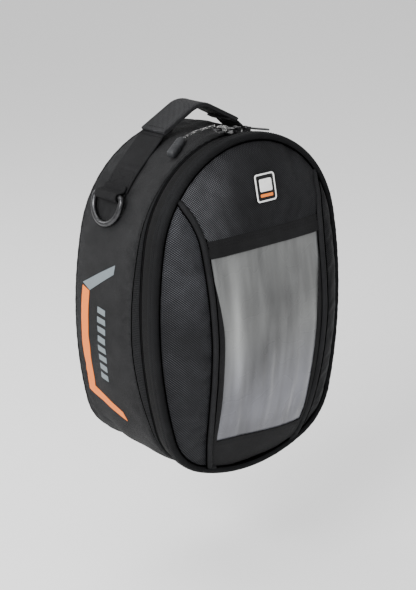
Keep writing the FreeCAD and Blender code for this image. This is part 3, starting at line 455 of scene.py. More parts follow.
# ---------------------------------------------------------------- materials
class Nodes:
    def __init__(self, name):
        self.mat = bpy.data.materials.new(name)
        self.mat.use_nodes = True
        self.nt = self.mat.node_tree
        self.bsdf = next(n for n in self.nt.nodes if n.type == "BSDF_PRINCIPLED")

    def put(self, socket, v):
        if hasattr(v, "links") or isinstance(v, bpy.types.NodeSocket):
            self.nt.links.new(v, socket)
        else:
            socket.default_value = v

    def m(self, op, a, b=None, c=None, clamp=False):
        n = self.nt.nodes.new("ShaderNodeMath")
        n.operation = op
        n.use_clamp = clamp
        for i, v in enumerate((a, b, c)):
            if v is not None:
                self.put(n.inputs[i], v)
        return n.outputs[0]

    def coords(self, kind="fab", scale=1000.0, rot=0.0):
        """(u, v, vector) in millimetres."""
        if kind == "fab":
            src = self.nt.nodes.new("ShaderNodeUVMap")
            src.uv_map = "fab"
            out = src.outputs[0]
        else:
            src = self.nt.nodes.new("ShaderNodeTexCoord")
            out = src.outputs["Object"]
        mp = self.nt.nodes.new("ShaderNodeMapping")
        mp.inputs["Scale"].default_value = (scale, scale, scale)
        mp.inputs["Rotation"].default_value = (0, 0, rot)
        self.nt.links.new(out, mp.inputs[0])
        sep = self.nt.nodes.new("ShaderNodeSeparateXYZ")
        self.nt.links.new(mp.outputs[0], sep.inputs[0])
        return sep.outputs[0], sep.outputs[1], mp.outputs[0]

    def obj_mm(self):
        src = self.nt.nodes.new("ShaderNodeTexCoord")
        mp = self.nt.nodes.new("ShaderNodeMapping")
        mp.inputs["Scale"].default_value = (1000, 1000, 1000)
        self.nt.links.new(src.outputs["Object"], mp.inputs[0])
        return mp.outputs[0]

    def noise(self, vec, scale, detail=2.0, rough=0.5):
        n = self.nt.nodes.new("ShaderNodeTexNoise")
        n.inputs["Scale"].default_value = scale
        n.inputs["Detail"].default_value = detail
        n.inputs["Roughness"].default_value = rough
        self.nt.links.new(vec, n.inputs["Vector"])
        return n.outputs["Fac"]

    def ramp(self, fac, lo, hi, a=0.0, b=1.0):
        n = self.nt.nodes.new("ShaderNodeMapRange")
        n.clamp = True
        n.interpolation_type = "SMOOTHSTEP"
        n.inputs["From Min"].default_value = lo
        n.inputs["From Max"].default_value = hi
        n.inputs["To Min"].default_value = a
        n.inputs["To Max"].default_value = b
        self.put(n.inputs["Value"], fac)
        return n.outputs["Result"]

    def mix(self, fac, a, b):
        n = self.nt.nodes.new("ShaderNodeMix")
        n.data_type = "RGBA"
        self.put(n.inputs["Factor"], fac)
        for sock, v in ((n.inputs[6], a), (n.inputs[7], b)):
            if isinstance(v, bpy.types.NodeSocket):
                self.nt.links.new(v, sock)
            else:
                sock.default_value = (v[0], v[1], v[2], 1.0)
        return n.outputs[2]

    def bump(self, height, dist_mm, strength=1.0, base=None):
        n = self.nt.nodes.new("ShaderNodeBump")
        n.inputs["Strength"].default_value = strength
        n.inputs["Distance"].default_value = dist_mm / 1000.0
        self.nt.links.new(height, n.inputs["Height"])
        if base is not None:
            self.nt.links.new(base, n.inputs["Normal"])
        return n.outputs["Normal"]

    def finish(self, color=None, rough=None, normal=None, **sockets):
        for name, v in (("Base Color", color), ("Roughness", rough), ("Normal", normal)):
            if v is None:
                continue
            if isinstance(v, (tuple, list)):
                v = (v[0], v[1], v[2], 1.0)
            self.put(self.bsdf.inputs[name], v)
        for k, v in sockets.items():
            self.put(self.bsdf.inputs[k.replace("_", " ")], v)
        return self.mat


def weave(n, kind, u, v, p):
    """Height 0..1 of a weave whose threads lie p millimetres apart."""
    pi = math.pi

    def sn(x, per):
        return n.m("SINE", n.m("MULTIPLY", x, 2 * pi / per))
    if kind == "plain":
        return n.m("ABSOLUTE", n.m("MULTIPLY", sn(u, 2 * p), sn(v, 2 * p)))
    if kind == "rib":
        return n.m("MULTIPLY", n.m("ABSOLUTE", sn(v, 2 * p)),
                   n.m("MULTIPLY_ADD", n.m("ABSOLUTE", sn(u, 3.2 * p)), 0.35, 0.65))
    if kind == "twill":
        a, b = n.m("ADD", u, v), n.m("SUBTRACT", u, v)
        return n.m("MULTIPLY", n.m("ABSOLUTE", sn(a, 2.8 * p)),
                   n.m("MULTIPLY_ADD", n.m("ABSOLUTE", sn(b, 2.0 * p)), 0.5, 0.5))
    if kind == "dots":
        a, b = n.m("ADD", n.m("MULTIPLY", u, 1.12), v), n.m("SUBTRACT", n.m("MULTIPLY", u, 1.12), v)
        rib = n.m("POWER", n.m("ABSOLUTE", sn(a, 2.0 * p)), 2.2)
        return n.m("MULTIPLY", rib, n.m("MULTIPLY_ADD", n.m("POWER", n.m("ABSOLUTE", sn(b, 1.7 * p)), 2.0), 0.72, 0.28))
    if kind == "herring":
        zig = n.m("PINGPONG", v, 4 * p)
        return n.m("ABSOLUTE", sn(n.m("ADD", u, zig), 2.0 * p))
    if kind == "belt":
        rib = n.m("ABSOLUTE", sn(u, 2 * p))
        return n.m("MULTIPLY", rib, n.m("MULTIPLY_ADD", n.m("ABSOLUTE", sn(v, 1.6 * p)), 0.3, 0.7))
    raise ValueError(kind)


def fabric(name, dark, light, kind="plain", pitch=0.6, bump=0.12, rough=(0.62, 0.85), rot=0.0, sheen=0.0,
           spec=0.10, mottle=0.35, fuzz=0.5, dust=0.0, coords="fab", tint=None, painted_light_ramp=None):
    n = Nodes(name)
    u, v, vec = n.coords(coords, 1000.0, rot)
    h = weave(n, kind, u, v, pitch)
    fine = n.noise(vec, 1.7, 2.0)
    big = n.noise(n.obj_mm(), 0.021, 3.0, 0.55)
    mid = n.noise(n.obj_mm(), 0.11, 2.0)
    k = n.m("MULTIPLY", h, n.ramp(fine, 0.25, 0.75, 1.0 - fuzz, 1.0))
    k = n.m("MULTIPLY", k, n.ramp(big, 0.3, 0.7, 1.0 - mottle, 1.0))
    k = n.m("MULTIPLY", k, n.ramp(mid, 0.3, 0.7, 1.0 - mottle * 0.5, 1.0), clamp=True)
    if painted_light_ramp is not None:                    # painted light: the weave's light colour scaled along one axis, brighter where the lamps fall (axis, from, to, strength at from, strength at to)
        k = n.m("MULTIPLY", k, n.ramp(u if painted_light_ramp[0] == "u" else v, *painted_light_ramp[1:]))
    # thread tops take the light colour and hollows the dark one; the light colour is partly the threads' own colour and
    # partly painted glints standing in for highlights, strongest on the dots weave of the side and top panels
    color = n.mix(k, dark, light)
    if dust:
        color = n.mix(n.ramp(n.noise(n.obj_mm(), 0.05, 5.0, 0.7), 0.55, 0.8, 0.0, dust), color, (0.2, 0.2, 0.2))
    if tint is not None:
        color = n.mix(n.ramp(big, 0.35, 0.65, 0.0, 0.5), color, tint)
    r = n.ramp(n.m("ADD", n.m("MULTIPLY", h, 0.6), n.m("MULTIPLY", fine, 0.4)), 0.0, 1.0, rough[1], rough[0])
    b = n.bump(h, bump)
    b = n.bump(mid, 0.5, 0.25, b)
    m = n.finish(color, r, b, Specular_IOR_Level=spec, Sheen_Weight=sheen, Sheen_Roughness=0.45)
    return m


def plain_mat(name, color, color2, rough=(0.4, 0.6), metallic=0.0, scale=0.25, bump=0.05, spec=0.5, coat=0.0, worn=None,
              grain=1.5):
    """Moulded or plated surface: slow colour drift, fine grain, and an optional worn colour at scattered spots."""
    n = Nodes(name)
    vec = n.obj_mm()
    drift = n.noise(vec, scale, 3.0)
    fine = n.noise(vec, grain, 3.0, 0.6)
    color = n.mix(n.ramp(drift, 0.3, 0.7), color, color2)
    if worn is not None:
        color = n.mix(n.ramp(n.noise(vec, 0.7, 5.0, 0.65), 0.58, 0.72, 0.0, 0.8), color, worn)
    r = n.ramp(fine, 0.25, 0.75, rough[0], rough[1])
    return n.finish(color, r, n.bump(fine, bump), Metallic=metallic, Specular_IOR_Level=spec, Coat_Weight=coat,
                    Coat_Roughness=0.2)


M = {}
M["wall"] = fabric("wall_fabric", (0.0018, 0.0018, 0.002), (0.054, 0.0545, 0.0565), "plain", 0.75, 0.19)
M["coarse"] = fabric("coarse_fabric", (0.0008, 0.0008, 0.0009), (0.019, 0.0195, 0.021), "twill", 1.15, 0.28, mottle=0.3, spec=0.06)
# left side panel, the lit copy of the side twill: painted light makes its upper part brighter and its lower part darker
M["side"] = fabric("side_twill", (0.0012, 0.0013, 0.0016), (0.135, 0.139, 0.158), "dots", 2.1, 0.30, rough=(0.42, 0.75),
                   spec=0.12, mottle=0.45, painted_light_ramp=("v", 140.0, 232.0, 0.36, 1.0))
# right side panel: a darker copy of the side twill, painted shade for the side turned away from the lamps
M["side_painted_shade"] = fabric("side_twill_painted_shade", (0.001, 0.001, 0.0012), (0.052, 0.0525, 0.057), "dots", 2.1, 0.30,
                          rough=(0.5, 0.8), spec=0.06, mottle=0.4)
# top panel: painted highlight, its left end lighter and the rest darker, as if lit from the left
M["top"] = fabric("top_twill", (0.0012, 0.0012, 0.0014), (0.160, 0.163, 0.178), "dots", 2.1, 0.28, rough=(0.45, 0.78),
                  spec=0.08, mottle=0.4, painted_light_ramp=("u", -60.0, -16.0, 1.15, 0.33))
M["strip"] = fabric("strip_fabric", (0.0016, 0.0016, 0.0017), (0.030, 0.030, 0.032), "plain", 0.7, 0.14)
M["tape"] = fabric("zip_tape", (0.0008, 0.0008, 0.0008), (0.007, 0.007, 0.0077), "herring", 0.55, 0.10)
M["web"] = fabric("webbing", (0.0015, 0.0015, 0.0016), (0.024, 0.024, 0.026), "plain", 0.9, 0.18)
M["grip"] = fabric("grip_webbing", (0.001, 0.001, 0.0011), (0.048, 0.0485, 0.052), "belt", 1.15, 0.30, rot=0.72,
                   rough=(0.5, 0.8))
M["piping"] = fabric("piping_fabric", (0.0008, 0.0008, 0.0009), (0.030, 0.0305, 0.033), "twill", 1.1, 0.24)
M["lining"] = fabric("lining_cloth", (0.030, 0.0305, 0.032), (0.115, 0.117, 0.122), "plain", 0.45, 0.07)
M["foam"] = fabric("foam_sheet", (0.02, 0.02, 0.021), (0.06, 0.06, 0.063), "plain", 0.8, 0.05, coords="object")
M["thread"] = fabric("thread", (0.004, 0.004, 0.0045), (0.05, 0.05, 0.053), "plain", 0.3, 0.03, coords="object")
M["thread_dark"] = fabric("thread_dark", (0.004, 0.004, 0.0043), (0.038, 0.038, 0.041), "plain", 0.3, 0.03, coords="object")
M["gun"] = plain_mat("gunmetal", (0.036, 0.036, 0.038), (0.055, 0.055, 0.057), rough=(0.26, 0.36), metallic=0.95,
                     bump=0.004, worn=(0.12, 0.12, 0.12), grain=0.8)
M["magnet"] = plain_mat("magnet_nickel", (0.5, 0.5, 0.51), (0.6, 0.6, 0.61), rough=(0.25, 0.35), metallic=1.0)
M["board"] = plain_mat("board_plastic", (0.02, 0.02, 0.02), (0.03, 0.03, 0.03), rough=(0.5, 0.7), bump=0.1)
M["rubber"] = plain_mat("cord_rubber", (0.012, 0.0125, 0.014), (0.018, 0.019, 0.021), rough=(0.42, 0.6), bump=0.04, spec=0.25)
M["badge"] = plain_mat("badge_rubber", (0.002, 0.002, 0.0024), (0.004, 0.004, 0.0045), rough=(0.4, 0.55), bump=0.02, spec=0.15)
M["pale"] = plain_mat("badge_border", (0.70, 0.70, 0.69), (0.78, 0.78, 0.77), rough=(0.4, 0.55), bump=0.02)
M["orange_hard"] = plain_mat("badge_orange", (0.74, 0.165, 0.004), (0.78, 0.18, 0.005), rough=(0.4, 0.5), bump=0.02)
M["coil"] = plain_mat("zip_coil", (0.003, 0.003, 0.003), (0.006, 0.006, 0.006), rough=(0.3, 0.42), bump=0.01, spec=0.25)


def print_mat(name, color, color2, rough):
    """Ink pressed into the weave: the cloth's threads still show through it."""
    n = Nodes(name)
    u, v, vec = n.coords("fab")
    h = weave(n, "plain", u, v, 0.75)
    wear = n.ramp(n.noise(vec, 0.9, 5.0, 0.7), 0.62, 0.78, 0.0, 0.55)
    shade = n.mix(n.ramp(h, 0.0, 0.5, 0.0, 1.0), color2, color)
    c = n.mix(wear, shade, (0.01, 0.01, 0.01))
    return n.finish(c, n.ramp(h, 0.0, 1.0, rough + 0.15, rough), n.bump(h, 0.08), Specular_IOR_Level=0.4)


M["orange"] = print_mat("print_orange", (0.74, 0.165, 0.004), (0.60, 0.12, 0.003), 0.5)
M["grey"] = print_mat("print_grey", (0.135, 0.162, 0.176), (0.09, 0.11, 0.12), 0.42)


def base_mat():
    n = Nodes("base_rubber")
    u, v, vec = n.coords("fab")
    p = 2.4
    d = n.m("MULTIPLY", n.m("SINE", n.m("MULTIPLY", n.m("ADD", u, v), math.pi / p)),
            n.m("SINE", n.m("MULTIPLY", n.m("SUBTRACT", u, v), math.pi / p)))
    h = n.ramp(n.m("ABSOLUTE", d), 0.25, 0.8)
    fine = n.noise(n.obj_mm(), 1.2, 3.0)
    big = n.noise(n.obj_mm(), 0.02, 3.0)
    c = n.mix(h, (0.003, 0.003, 0.003), (0.011, 0.011, 0.0115))
    c = n.mix(n.ramp(big, 0.45, 0.75, 0.0, 0.35), c, (0.02, 0.0195, 0.019))
    return n.finish(c, n.ramp(fine, 0.2, 0.8, 0.6, 0.85), n.bump(h, 0.35), Specular_IOR_Level=0.15)


M["base"] = base_mat()


def film_mat():
    """Smoky, slightly milky film: fine ribs, soft standing creases, a cloudy drift and a light edge where it is doubled."""
    n = Nodes("window_film")
    u, v, vec = n.coords("fab")
    big = n.noise(n.obj_mm(), 0.016, 2.0, 0.5)
    mid = n.noise(n.obj_mm(), 0.045, 1.0, 0.4)
    st = n.nt.nodes.new("ShaderNodeMapping")
    st.inputs["Scale"].default_value = (0.13, 0.02, 0.016)
    st.inputs["Rotation"].default_value = (0, math.radians(4), 0)
    n.nt.links.new(n.obj_mm(), st.inputs[0])
    crease = n.noise(st.outputs[0], 1.0, 1.0, 0.4)
    rib = n.m("ABSOLUTE", n.m("SINE", n.m("MULTIPLY", u, math.pi / 1.3)))

    def painted_reflection_spot(cu, cv, ru, rv):
        du = n.m("DIVIDE", n.m("SUBTRACT", u, cu), ru)
        dv = n.m("DIVIDE", n.m("SUBTRACT", v, cv), rv)
        r2 = n.m("ADD", n.m("MULTIPLY", du, du), n.m("MULTIPLY", dv, dv))
        return n.m("EXPONENT", n.m("MULTIPLY", r2, -1.0))
    tone = n.m("MULTIPLY_ADD", n.ramp(big, 0.3, 0.7), 0.09, 0.14)
    tone = n.m("ADD", tone, n.m("MULTIPLY", n.ramp(crease, 0.3, 0.7), 0.10))
    # painted reflections: the listed spots with positive k are painted highlights, those with negative k painted shade
    for cu, cv, ru, rv, k in ((-40, 150, 7, 44, 0.40), (-36, 106, 4, 20, 0.20), (-29, 192, 12, 20, 0.13), (-52, 90, 9, 30, 0.05),
                              (46, 88, 15, 26, 0.10), (42, 142, 12, 17, 0.10), (-16, 64, 22, 15, 0.07), (52, 190, 6, 24, 0.05),
                              (15, 152, 25, 22, -0.11), (8, 128, 14, 15, -0.10), (-11, 112, 12, 25, -0.22), (4, 196, 44, 20, -0.07),
                              (8, 42, 60, 13, -0.09)):
        tone = n.m("ADD", tone, n.m("MULTIPLY", painted_reflection_spot(float(cu), float(cv), float(ru), float(rv)), k))
    tone = n.m("MINIMUM", n.m("MAXIMUM", tone, 0.0), 1.0)
    hue = n.ramp(v, 60.0, 150.0)
    dark = n.mix(hue, (0.009, 0.0092, 0.011), (0.0085, 0.0090, 0.0089))
    pale = n.mix(hue, (0.315, 0.322, 0.375), (0.345, 0.355, 0.347))
    c = n.mix(tone, dark, pale)
    edge = n.ramp(n.m("ABSOLUTE", u), 54.5, 58.5)
    c = n.mix(n.m("MULTIPLY", edge, 0.25), c, (0.22, 0.225, 0.23))
    c = n.mix(n.m("MULTIPLY", rib, 0.14), c, (0.20, 0.20, 0.21))
    b = n.bump(rib, 0.05, 0.8)
    b = n.bump(crease, 1.1, 0.6, b)
    m = n.finish(c, n.ramp(mid, 0.3, 0.7, 0.22, 0.34), b, Specular_IOR_Level=0.42, Coat_Weight=0.12,
                 Coat_Roughness=0.15)
    return m


M["film"] = film_mat()


def cord_mat(name, coords):
    """Braided cord: black with white flecks on crossing spirals."""
    n = Nodes(name)
    u, v, vec = n.coords(coords)
    vor = n.nt.nodes.new("ShaderNodeTexVoronoi")
    vor.inputs["Scale"].default_value = 1.5
    n.nt.links.new(vec, vor.inputs["Vector"])
    pick = n.nt.nodes.new("ShaderNodeSeparateColor")
    n.nt.links.new(vor.outputs["Color"], pick.inputs[0])
    fleck = n.ramp(pick.outputs[0], 0.82, 0.85)
    edge = n.ramp(vor.outputs["Distance"], 0.0, 0.7, 1.0, 0.0)
    c = n.mix(fleck, (0.010, 0.010, 0.011), (0.46, 0.46, 0.45))
    c = n.mix(n.ramp(edge, 0.0, 0.3, 0.5, 0.0), c, (0.01, 0.01, 0.01))
    return n.finish(c, 0.7, n.bump(edge, 0.25), Specular_IOR_Level=0.3, Sheen_Weight=0.2)


M["cord"] = cord_mat("braided_cord", "object")
# near-black material for the painted seam shadows
M["fold"] = plain_mat("seam_fold", (0.0008, 0.0008, 0.0008), (0.0012, 0.0012, 0.0012), rough=(0.85, 0.95), spec=0.0)

# ---------------------------------------------------------------- the side wall's shape
SEAM_Y = [(0, 24.7), (60, 25.2), (110, 27.6), (150, 31.0), (190, 34.6), (232, 36.8), (268, 34.6), (300, 29.6),
          (330, 25.6), (380, 24.7), (HALF + 1, 24.7)]


def seam_y(s):
    return pchip(SEAM_Y, np.abs(s))


PATCH_A, PATCH_B = s_of(math.radians(41.5)), s_of(math.radians(64.0))


def strap_mask(s, y):
    """1 under the webbing patches, 0 away from them."""
    a = np.abs(s)
    return (smooth(PATCH_A - 8, PATCH_A, a) * (1 - smooth(PATCH_B, PATCH_B + 7, a))
            * smooth(53, 59, y) * (1 - smooth(93, 99, y)))


def sag(s, y):
    """The top hangs in a little between the handle's ends."""
    yd = depth(ring_xz("gus", 0, theta(s))[1])
    t = np.clip((y - 30.0) / np.maximum(yd - 33.0, 1.0), 0, 1)
    return -5.0 * np.exp(-(np.abs(s) / 29.0) ** 2.6) * np.sin(math.pi * t) ** 0.75


def wall_disp(s, y):
    """Outward offset of the wall's cloth."""
    s, y = np.asarray(s, float), np.asarray(y, float)
    z = ring_xz("gus", 0, theta(s))[1]
    yd, ys = depth(z), seam_y(s)
    f, r = np.maximum(y - ys, 0.0), np.maximum(yd - 1.0 - y, 0.0)
    d = 0.55 * (1 - np.exp(-f / 7.0)) * (1 - np.exp(-r / 7.0)) - 2.1 * np.exp(-(f / 1.9) ** 1.3) - 0.5 * np.exp(-(r / 2.4) ** 1.3)
    n1 = noise(s * 12 / HALF + 6, y / 34.0 + 3, 5, 24, 64)
    n2 = noise(s * 34 / HALF + 9, y / 15.0 + 1, 8, 68, 64)
    n3 = noise((s + 0.9 * y) * 30 / HALF, y / 46.0, 12, 60, 64)
    d = d + (0.75 * n1 + 0.32 * n2 + 0.42 * n3) * smooth(0, 14, f) * smooth(0, 12, r)
    pucker = np.sin(s * (2 * math.pi * 96 / (2 * HALF)) + 2.5 * noise(s * 40 / HALF, y * 0 + 0.5, 3, 80, 8))
    d = d + 0.20 * pucker * (np.exp(-(f / 5.0) ** 2) * (f > 0.2) + np.exp(-(r / 5.0) ** 2) * (r > 0.2))
    # the load pushes the low half of the side walls out a little, and the webbing pulls a dimple beside its end
    a = np.abs(s)
    d = d + 0.9 * np.exp(-((a - 255) / 55.0) ** 2) * np.exp(-((y - 78) / 26.0) ** 2)
    d = d - 0.6 * np.exp(-((a - 118) / 14.0) ** 2) * np.exp(-((y - 76) / 22.0) ** 2)
    m = strap_mask(s, y)
    d = d * (1 - m) + (-0.25) * m
    floor = smooth(372, 392, a)           # flat where it stands
    d = d * (1 - 0.75 * floor)
    if "wall" in SIM:
        d = d + SIM["wall"](s, (y - ys) / (yd - ys)) * (1 - m) * (1 - floor)
    return d + sag(s, y)


def wall_point(s, y, lift=0.0, disp=None):
    """Points of the wall's outer face, lifted outwards by lift millimetres."""
    s, y = np.asarray(s, float), np.asarray(y, float)
    th = theta(s)
    x, z = ring_xz("gus", 0, th)
    n = np.stack([np.sin(th), np.zeros_like(th), np.cos(th)], -1)
    d = (wall_disp(s, y) if disp is None else disp) + lift
    P = np.stack([x, y + SHIFT + np.zeros_like(x), z], -1) + n * d[..., None]
    P[..., 2] = np.maximum(P[..., 2], -2.0)
    return P, n


NS = 560
S = np.linspace(-HALF, HALF, NS, endpoint=False)
SU = np.concatenate([S, [HALF]])

s_ = np.linspace(-HALF, HALF, 280, endpoint=False)
v_ = np.linspace(0, 1, 34)
Sg = np.repeat(s_[:, None], 34, 1)
yd_ = depth(ring_xz("gus", 0, theta(s_))[1])
Y = seam_y(s_)[:, None] + (yd_ - seam_y(s_))[:, None] * v_[None]
P, N = wall_point(Sg, Y)
pin = np.zeros(P.shape[:2], bool)
pin[:, :1] = pin[:, -2:] = True
pin |= strap_mask(Sg, Y) > 0.4
pin |= np.abs(Sg) > 385
d = settle(P, N, pin, True, 2.0, 0.022, 1.7)
SIM["wall"] = Field(np.concatenate([s_, [HALF]]), v_, np.concatenate([d, d[:1]], 0))
print("SIM wall", round(float(d.min()), 2), round(float(d.max()), 2), round(float(d.std()), 2))


def ring_grid(nv, y0, y1, expo=1.0):
    """s and y over the whole ring: y goes from y0(s) to y1(s), with more rows at both edges."""
    t = np.linspace(0, 1, nv)
    t = t + 0.07 * np.sin(2 * math.pi * t) * -1.0
    Sg = np.repeat(S[:, None], nv, 1)
    a, b = y0(S)[:, None], y1(S)[:, None]
    return Sg, a + (b - a) * t[None]


def z_of(s):
    return ring_xz("gus", 0, theta(s))[1]


def uv_ring(Sg, Y):
    U = np.concatenate([Sg, Sg[:1] + 2 * HALF], 0)
    V = np.concatenate([Y, Y[:1]], 0)
    return U, V


# outer cloth of the side wall
Sg, Y = ring_grid(64, seam_y, lambda s: depth(z_of(s)) - 1.2)
P, N = wall_point(Sg, Y)
U, V = uv_ring(Sg, Y)
wall = sheet_obj("wall_cloth", P, normals(P, True) * -1 if np.sum(normals(P, True) * N) < 0 else normals(P, True), 1.5, U, V,
                 wrap_u=True, mat=M["wall"], body="shell", slot="wall_fabric", repl=["gusset_shell"])

# padding and lining follow the cloth's sag
Sg, Y = ring_grid(16, lambda s: s * 0 + 34.0, lambda s: depth(z_of(s)) - 4.0)
d = sag(Sg, Y)
P, N = wall_point(Sg, Y, disp=d - 2.1)
U, V = uv_ring(Sg, Y)
foam = sheet_obj("wall_foam", P, N, 3.4, U, V, wrap_u=True, mat=M["foam"], body="shell", slot="foam", repl=["gusset_foam"])


def inner_inset(y):
    """Depth of the lining below the wall's face: it starts at the zip tape and runs back over the padding."""
    return 3.0 + 3.3 * smooth(26.0, 36.0, y)


Sg, Y = ring_grid(40, lambda s: s * 0 + 24.6, lambda s: depth(z_of(s)) - 11.3)
wr = 0.35 * noise(Sg * 30 / HALF, Y / 20.0, 21, 60, 64) + 0.2 * noise(Sg * 70 / HALF, Y / 8.0, 22, 140, 64)
P, N = wall_point(Sg, Y, disp=sag(Sg, Y) * smooth(26, 34, Y) - inner_inset(Y) + wr * smooth(27, 36, Y))
U, V = uv_ring(Sg, Y)
lin = sheet_obj("wall_lining", P, N, 0.5, U, V, wrap_u=True, mat=M["lining"], body="shell", slot="lining",
                repl=["gusset_lining"])


# ---------------------------------------------------------------- rings of constant section round the outline
def ring_sweep(name, kind, profile, clip, s_lim=None, n=NS, wob=None, **kw):
    """profile(s) -> (k, 2) array of (inset, y) points of a closed section; swept round the outline."""
    if s_lim is None:
        ss, wrap = S, True
    else:
        ss, wrap = np.linspace(-s_lim, s_lim, n), False
    th = theta(ss)
    secs = np.array([profile(s) for s in ss])
    k = secs.shape[1]
    P = np.zeros((len(ss), k, 3))
    for j in range(k):
        inset = secs[:, j, 0]
        x, z = ring_xz(kind, inset, th, clip)
        P[:, j] = np.stack([x, secs[:, j, 1] + SHIFT, z], -1)
    U = np.concatenate([ss, [ss[-1] + (ss[1] - ss[0])]])
    Vv = perimeter(secs[len(ss) // 2])
    return sweep_obj(name, P, U, Vv, wrap_u=wrap, **kw)


def densify(poly, step=1.2):
    """More points along the sides of a closed section."""
    poly = np.asarray(poly, float)
    out = []
    for a, b in zip(poly, np.roll(poly, -1, 0)):
        m = max(int(np.linalg.norm(b - a) / step), 1)
        out += [a + (b - a) * i / m for i in range(m)]
    return np.array(out)


HINGE_S = float(s_of(math.radians(159.6)))     # where x is 50 mm at the bottom


def rim_profile(s):
    w = 0.12 * math.sin(s * 0.9) + 0.1 * math.sin(s * 0.37 + 1.0)
    p = [(6.0, 0.6), (5.7, -0.7), (4.6, -1.75 - w), (3.0, -2.25 - w), (1.4, -1.75 - w), (0.35, -0.4), (0.0, 1.3),
         (0.02, 3.4), (0.25, 4.1), (0.1, 4.8), (0.05, 7.4), (0.5, 8.3), (1.3, 8.4), (1.6, 7.0), (1.7, 3.2), (5.8, 2.6)]
    return np.array(p)


rim = ring_sweep("rim_band", "rim", rim_profile, 0.5, mat=M["coarse"], body="lid", slot="coarse_fabric",
                 repl=["lid_rim_band"])


def lid_tape_profile(s):
    return densify([(0.55, 7.6), (0.2, 8.9), (0.18, 15.0), (0.25, 19.6), (0.75, 20.9), (1.25, 21.45), (1.7, 21.3), (1.5, 20.4),
                    (1.0, 19.4), (0.95, 9.0), (1.2, 7.7)], 2.0)


tape_lid = ring_sweep("zip_tape_front", "gus", lid_tape_profile, 0.5, s_lim=HINGE_S, mat=M["tape"], body="lid",
                      slot="zip_tape", repl=["zip_tape_lid"])


def body_tape_profile(s):
    return densify([(1.2, 22.15), (0.75, 22.6), (0.95, 23.8), (1.65, 25.6), (1.7, 31.8), (2.5, 31.8), (2.45, 25.8), (1.75, 23.9),
                    (1.6, 22.4)], 2.0)


tape_body = ring_sweep("zip_tape_rear", "gus", body_tape_profile, 0.2, s_lim=HINGE_S, mat=M["tape"], body="shell",
                       slot="zip_tape", repl=["zip_tape_body"])


def facing_profile(s):
    ys = float(seam_y(s))
    y0 = 23.7
    w = 0.1 * math.sin(s * 0.8)
    return densify([(0.95, y0 + 0.1), (0.45 - w, y0 + 0.9), (0.35 - w, y0 + 1.4 + 0.2 * (ys - y0)),
                    (0.25 - w, y0 + 0.3 + 0.7 * (ys - y0)), (0.9, ys + 0.2), (1.45, ys + 1.6), (1.62, ys + 0.6),
                    (1.3, y0 + 0.7 * (ys - y0)), (1.25, y0 + 0.6)], 50.0)


facing = ring_sweep("zip_facing_cloth", "gus", facing_profile, 0.1, mat=M["coarse"], body="shell", slot="coarse_fabric",
                    repl=["zip_facing"])

# rear piping: a covered cord round the tank-side edge, with its flange under the wall's cloth
th = theta(S)
nx, nz = np.sin(th), np.cos(th)
k = 12
a = np.linspace(0, 2 * math.pi, k, endpoint=False)
P = np.zeros((NS, k, 3))
for i, s in enumerate(S):
    x0, z0 = ring_xz("gus", 1.75, th[i:i + 1], 0.3)
    r = 2.05 + 0.08 * math.sin(s * 0.55) + 0.05 * math.sin(s * 1.7)
    yc = depth(z0[0]) - 1.75
    for j in range(k):
        P[i, j] = (x0[0] + nx[i] * r * math.cos(a[j]), yc + SHIFT + r * math.sin(a[j]), z0[0] + nz[i] * r * math.cos(a[j]))
rear = sweep_obj("rear_piping_cord", P, SU, np.linspace(0, 2 * math.pi * 2.05, k + 1), wrap_u=True, mat=M["piping"],
                 body="shell", slot="coarse_fabric", repl=["rear_piping"])


# ---------------------------------------------------------------- zip coils
def coil_obj(name, kind, inset, y, wide, deep, body, repl, s_lim, pitch=1.45):
    n = int(2 * s_lim / pitch) * 8
    ss = np.linspace(-s_lim, s_lim, n)
    ph = 2 * math.pi * (ss + s_lim) / pitch
    th = theta(ss)
    x, z = ring_xz(kind, inset - deep / 2 * np.cos(ph), th, 0.2)
    pts = np.stack([x, y + wide / 2 * np.sin(ph) + SHIFT, z], 1)
    nrm = np.stack([np.sin(th), 0 * th, np.cos(th)], 1)
    centre = np.stack([*ring_xz(kind, inset, th, 0.2)], 1)
    up = pts - np.stack([centre[:, 0], y + SHIFT + 0 * th, centre[:, 1]], 1) + nrm * 1e-3
    P = tube_pts(pts, 0.3, up, 5)
    L = arclen(pts)
    return sweep_obj(name, P, np.concatenate([L, L[-1:]]), np.linspace(0, 2, 6), mat=M["coil"], body=body,
                     slot="zip_coil", repl=repl)


coil_obj("zip_coil_front", "gus", 1.95, 20.4, 1.9, 1.1, "lid", ["zip_coil_lid"], HINGE_S - 2)
coil_obj("zip_coil_rear", "gus", 3.0, 23.2, 1.9, 1.1, "shell", ["zip_coil_body"], HINGE_S - 2)

# fabric tabs that close the zip's ends
tabs = Heap()
for sg in (-1, 1):
    ss = np.linspace(HINGE_S - 4.5, HINGE_S + 5.0, 8) * sg
    rows = []
    for y, ins in ((22.8, 0.35), (24.5, 0.2), (26.6, 0.2), (28.2, 0.35), (28.2, 0.9), (22.8, 0.9)):
        x, z = ring_xz("gus", ins - 0.45, theta(ss), 0.0)
        rows.append(np.stack([x, y + SHIFT + 0 * x, z], 1))
    tabs.sweep(np.stack(rows, 1))
tabs.obj("zip_end_tab_pair", mat=M["web"], body="shell", slot="zip_tape", repl=["zip_end_tabs"])

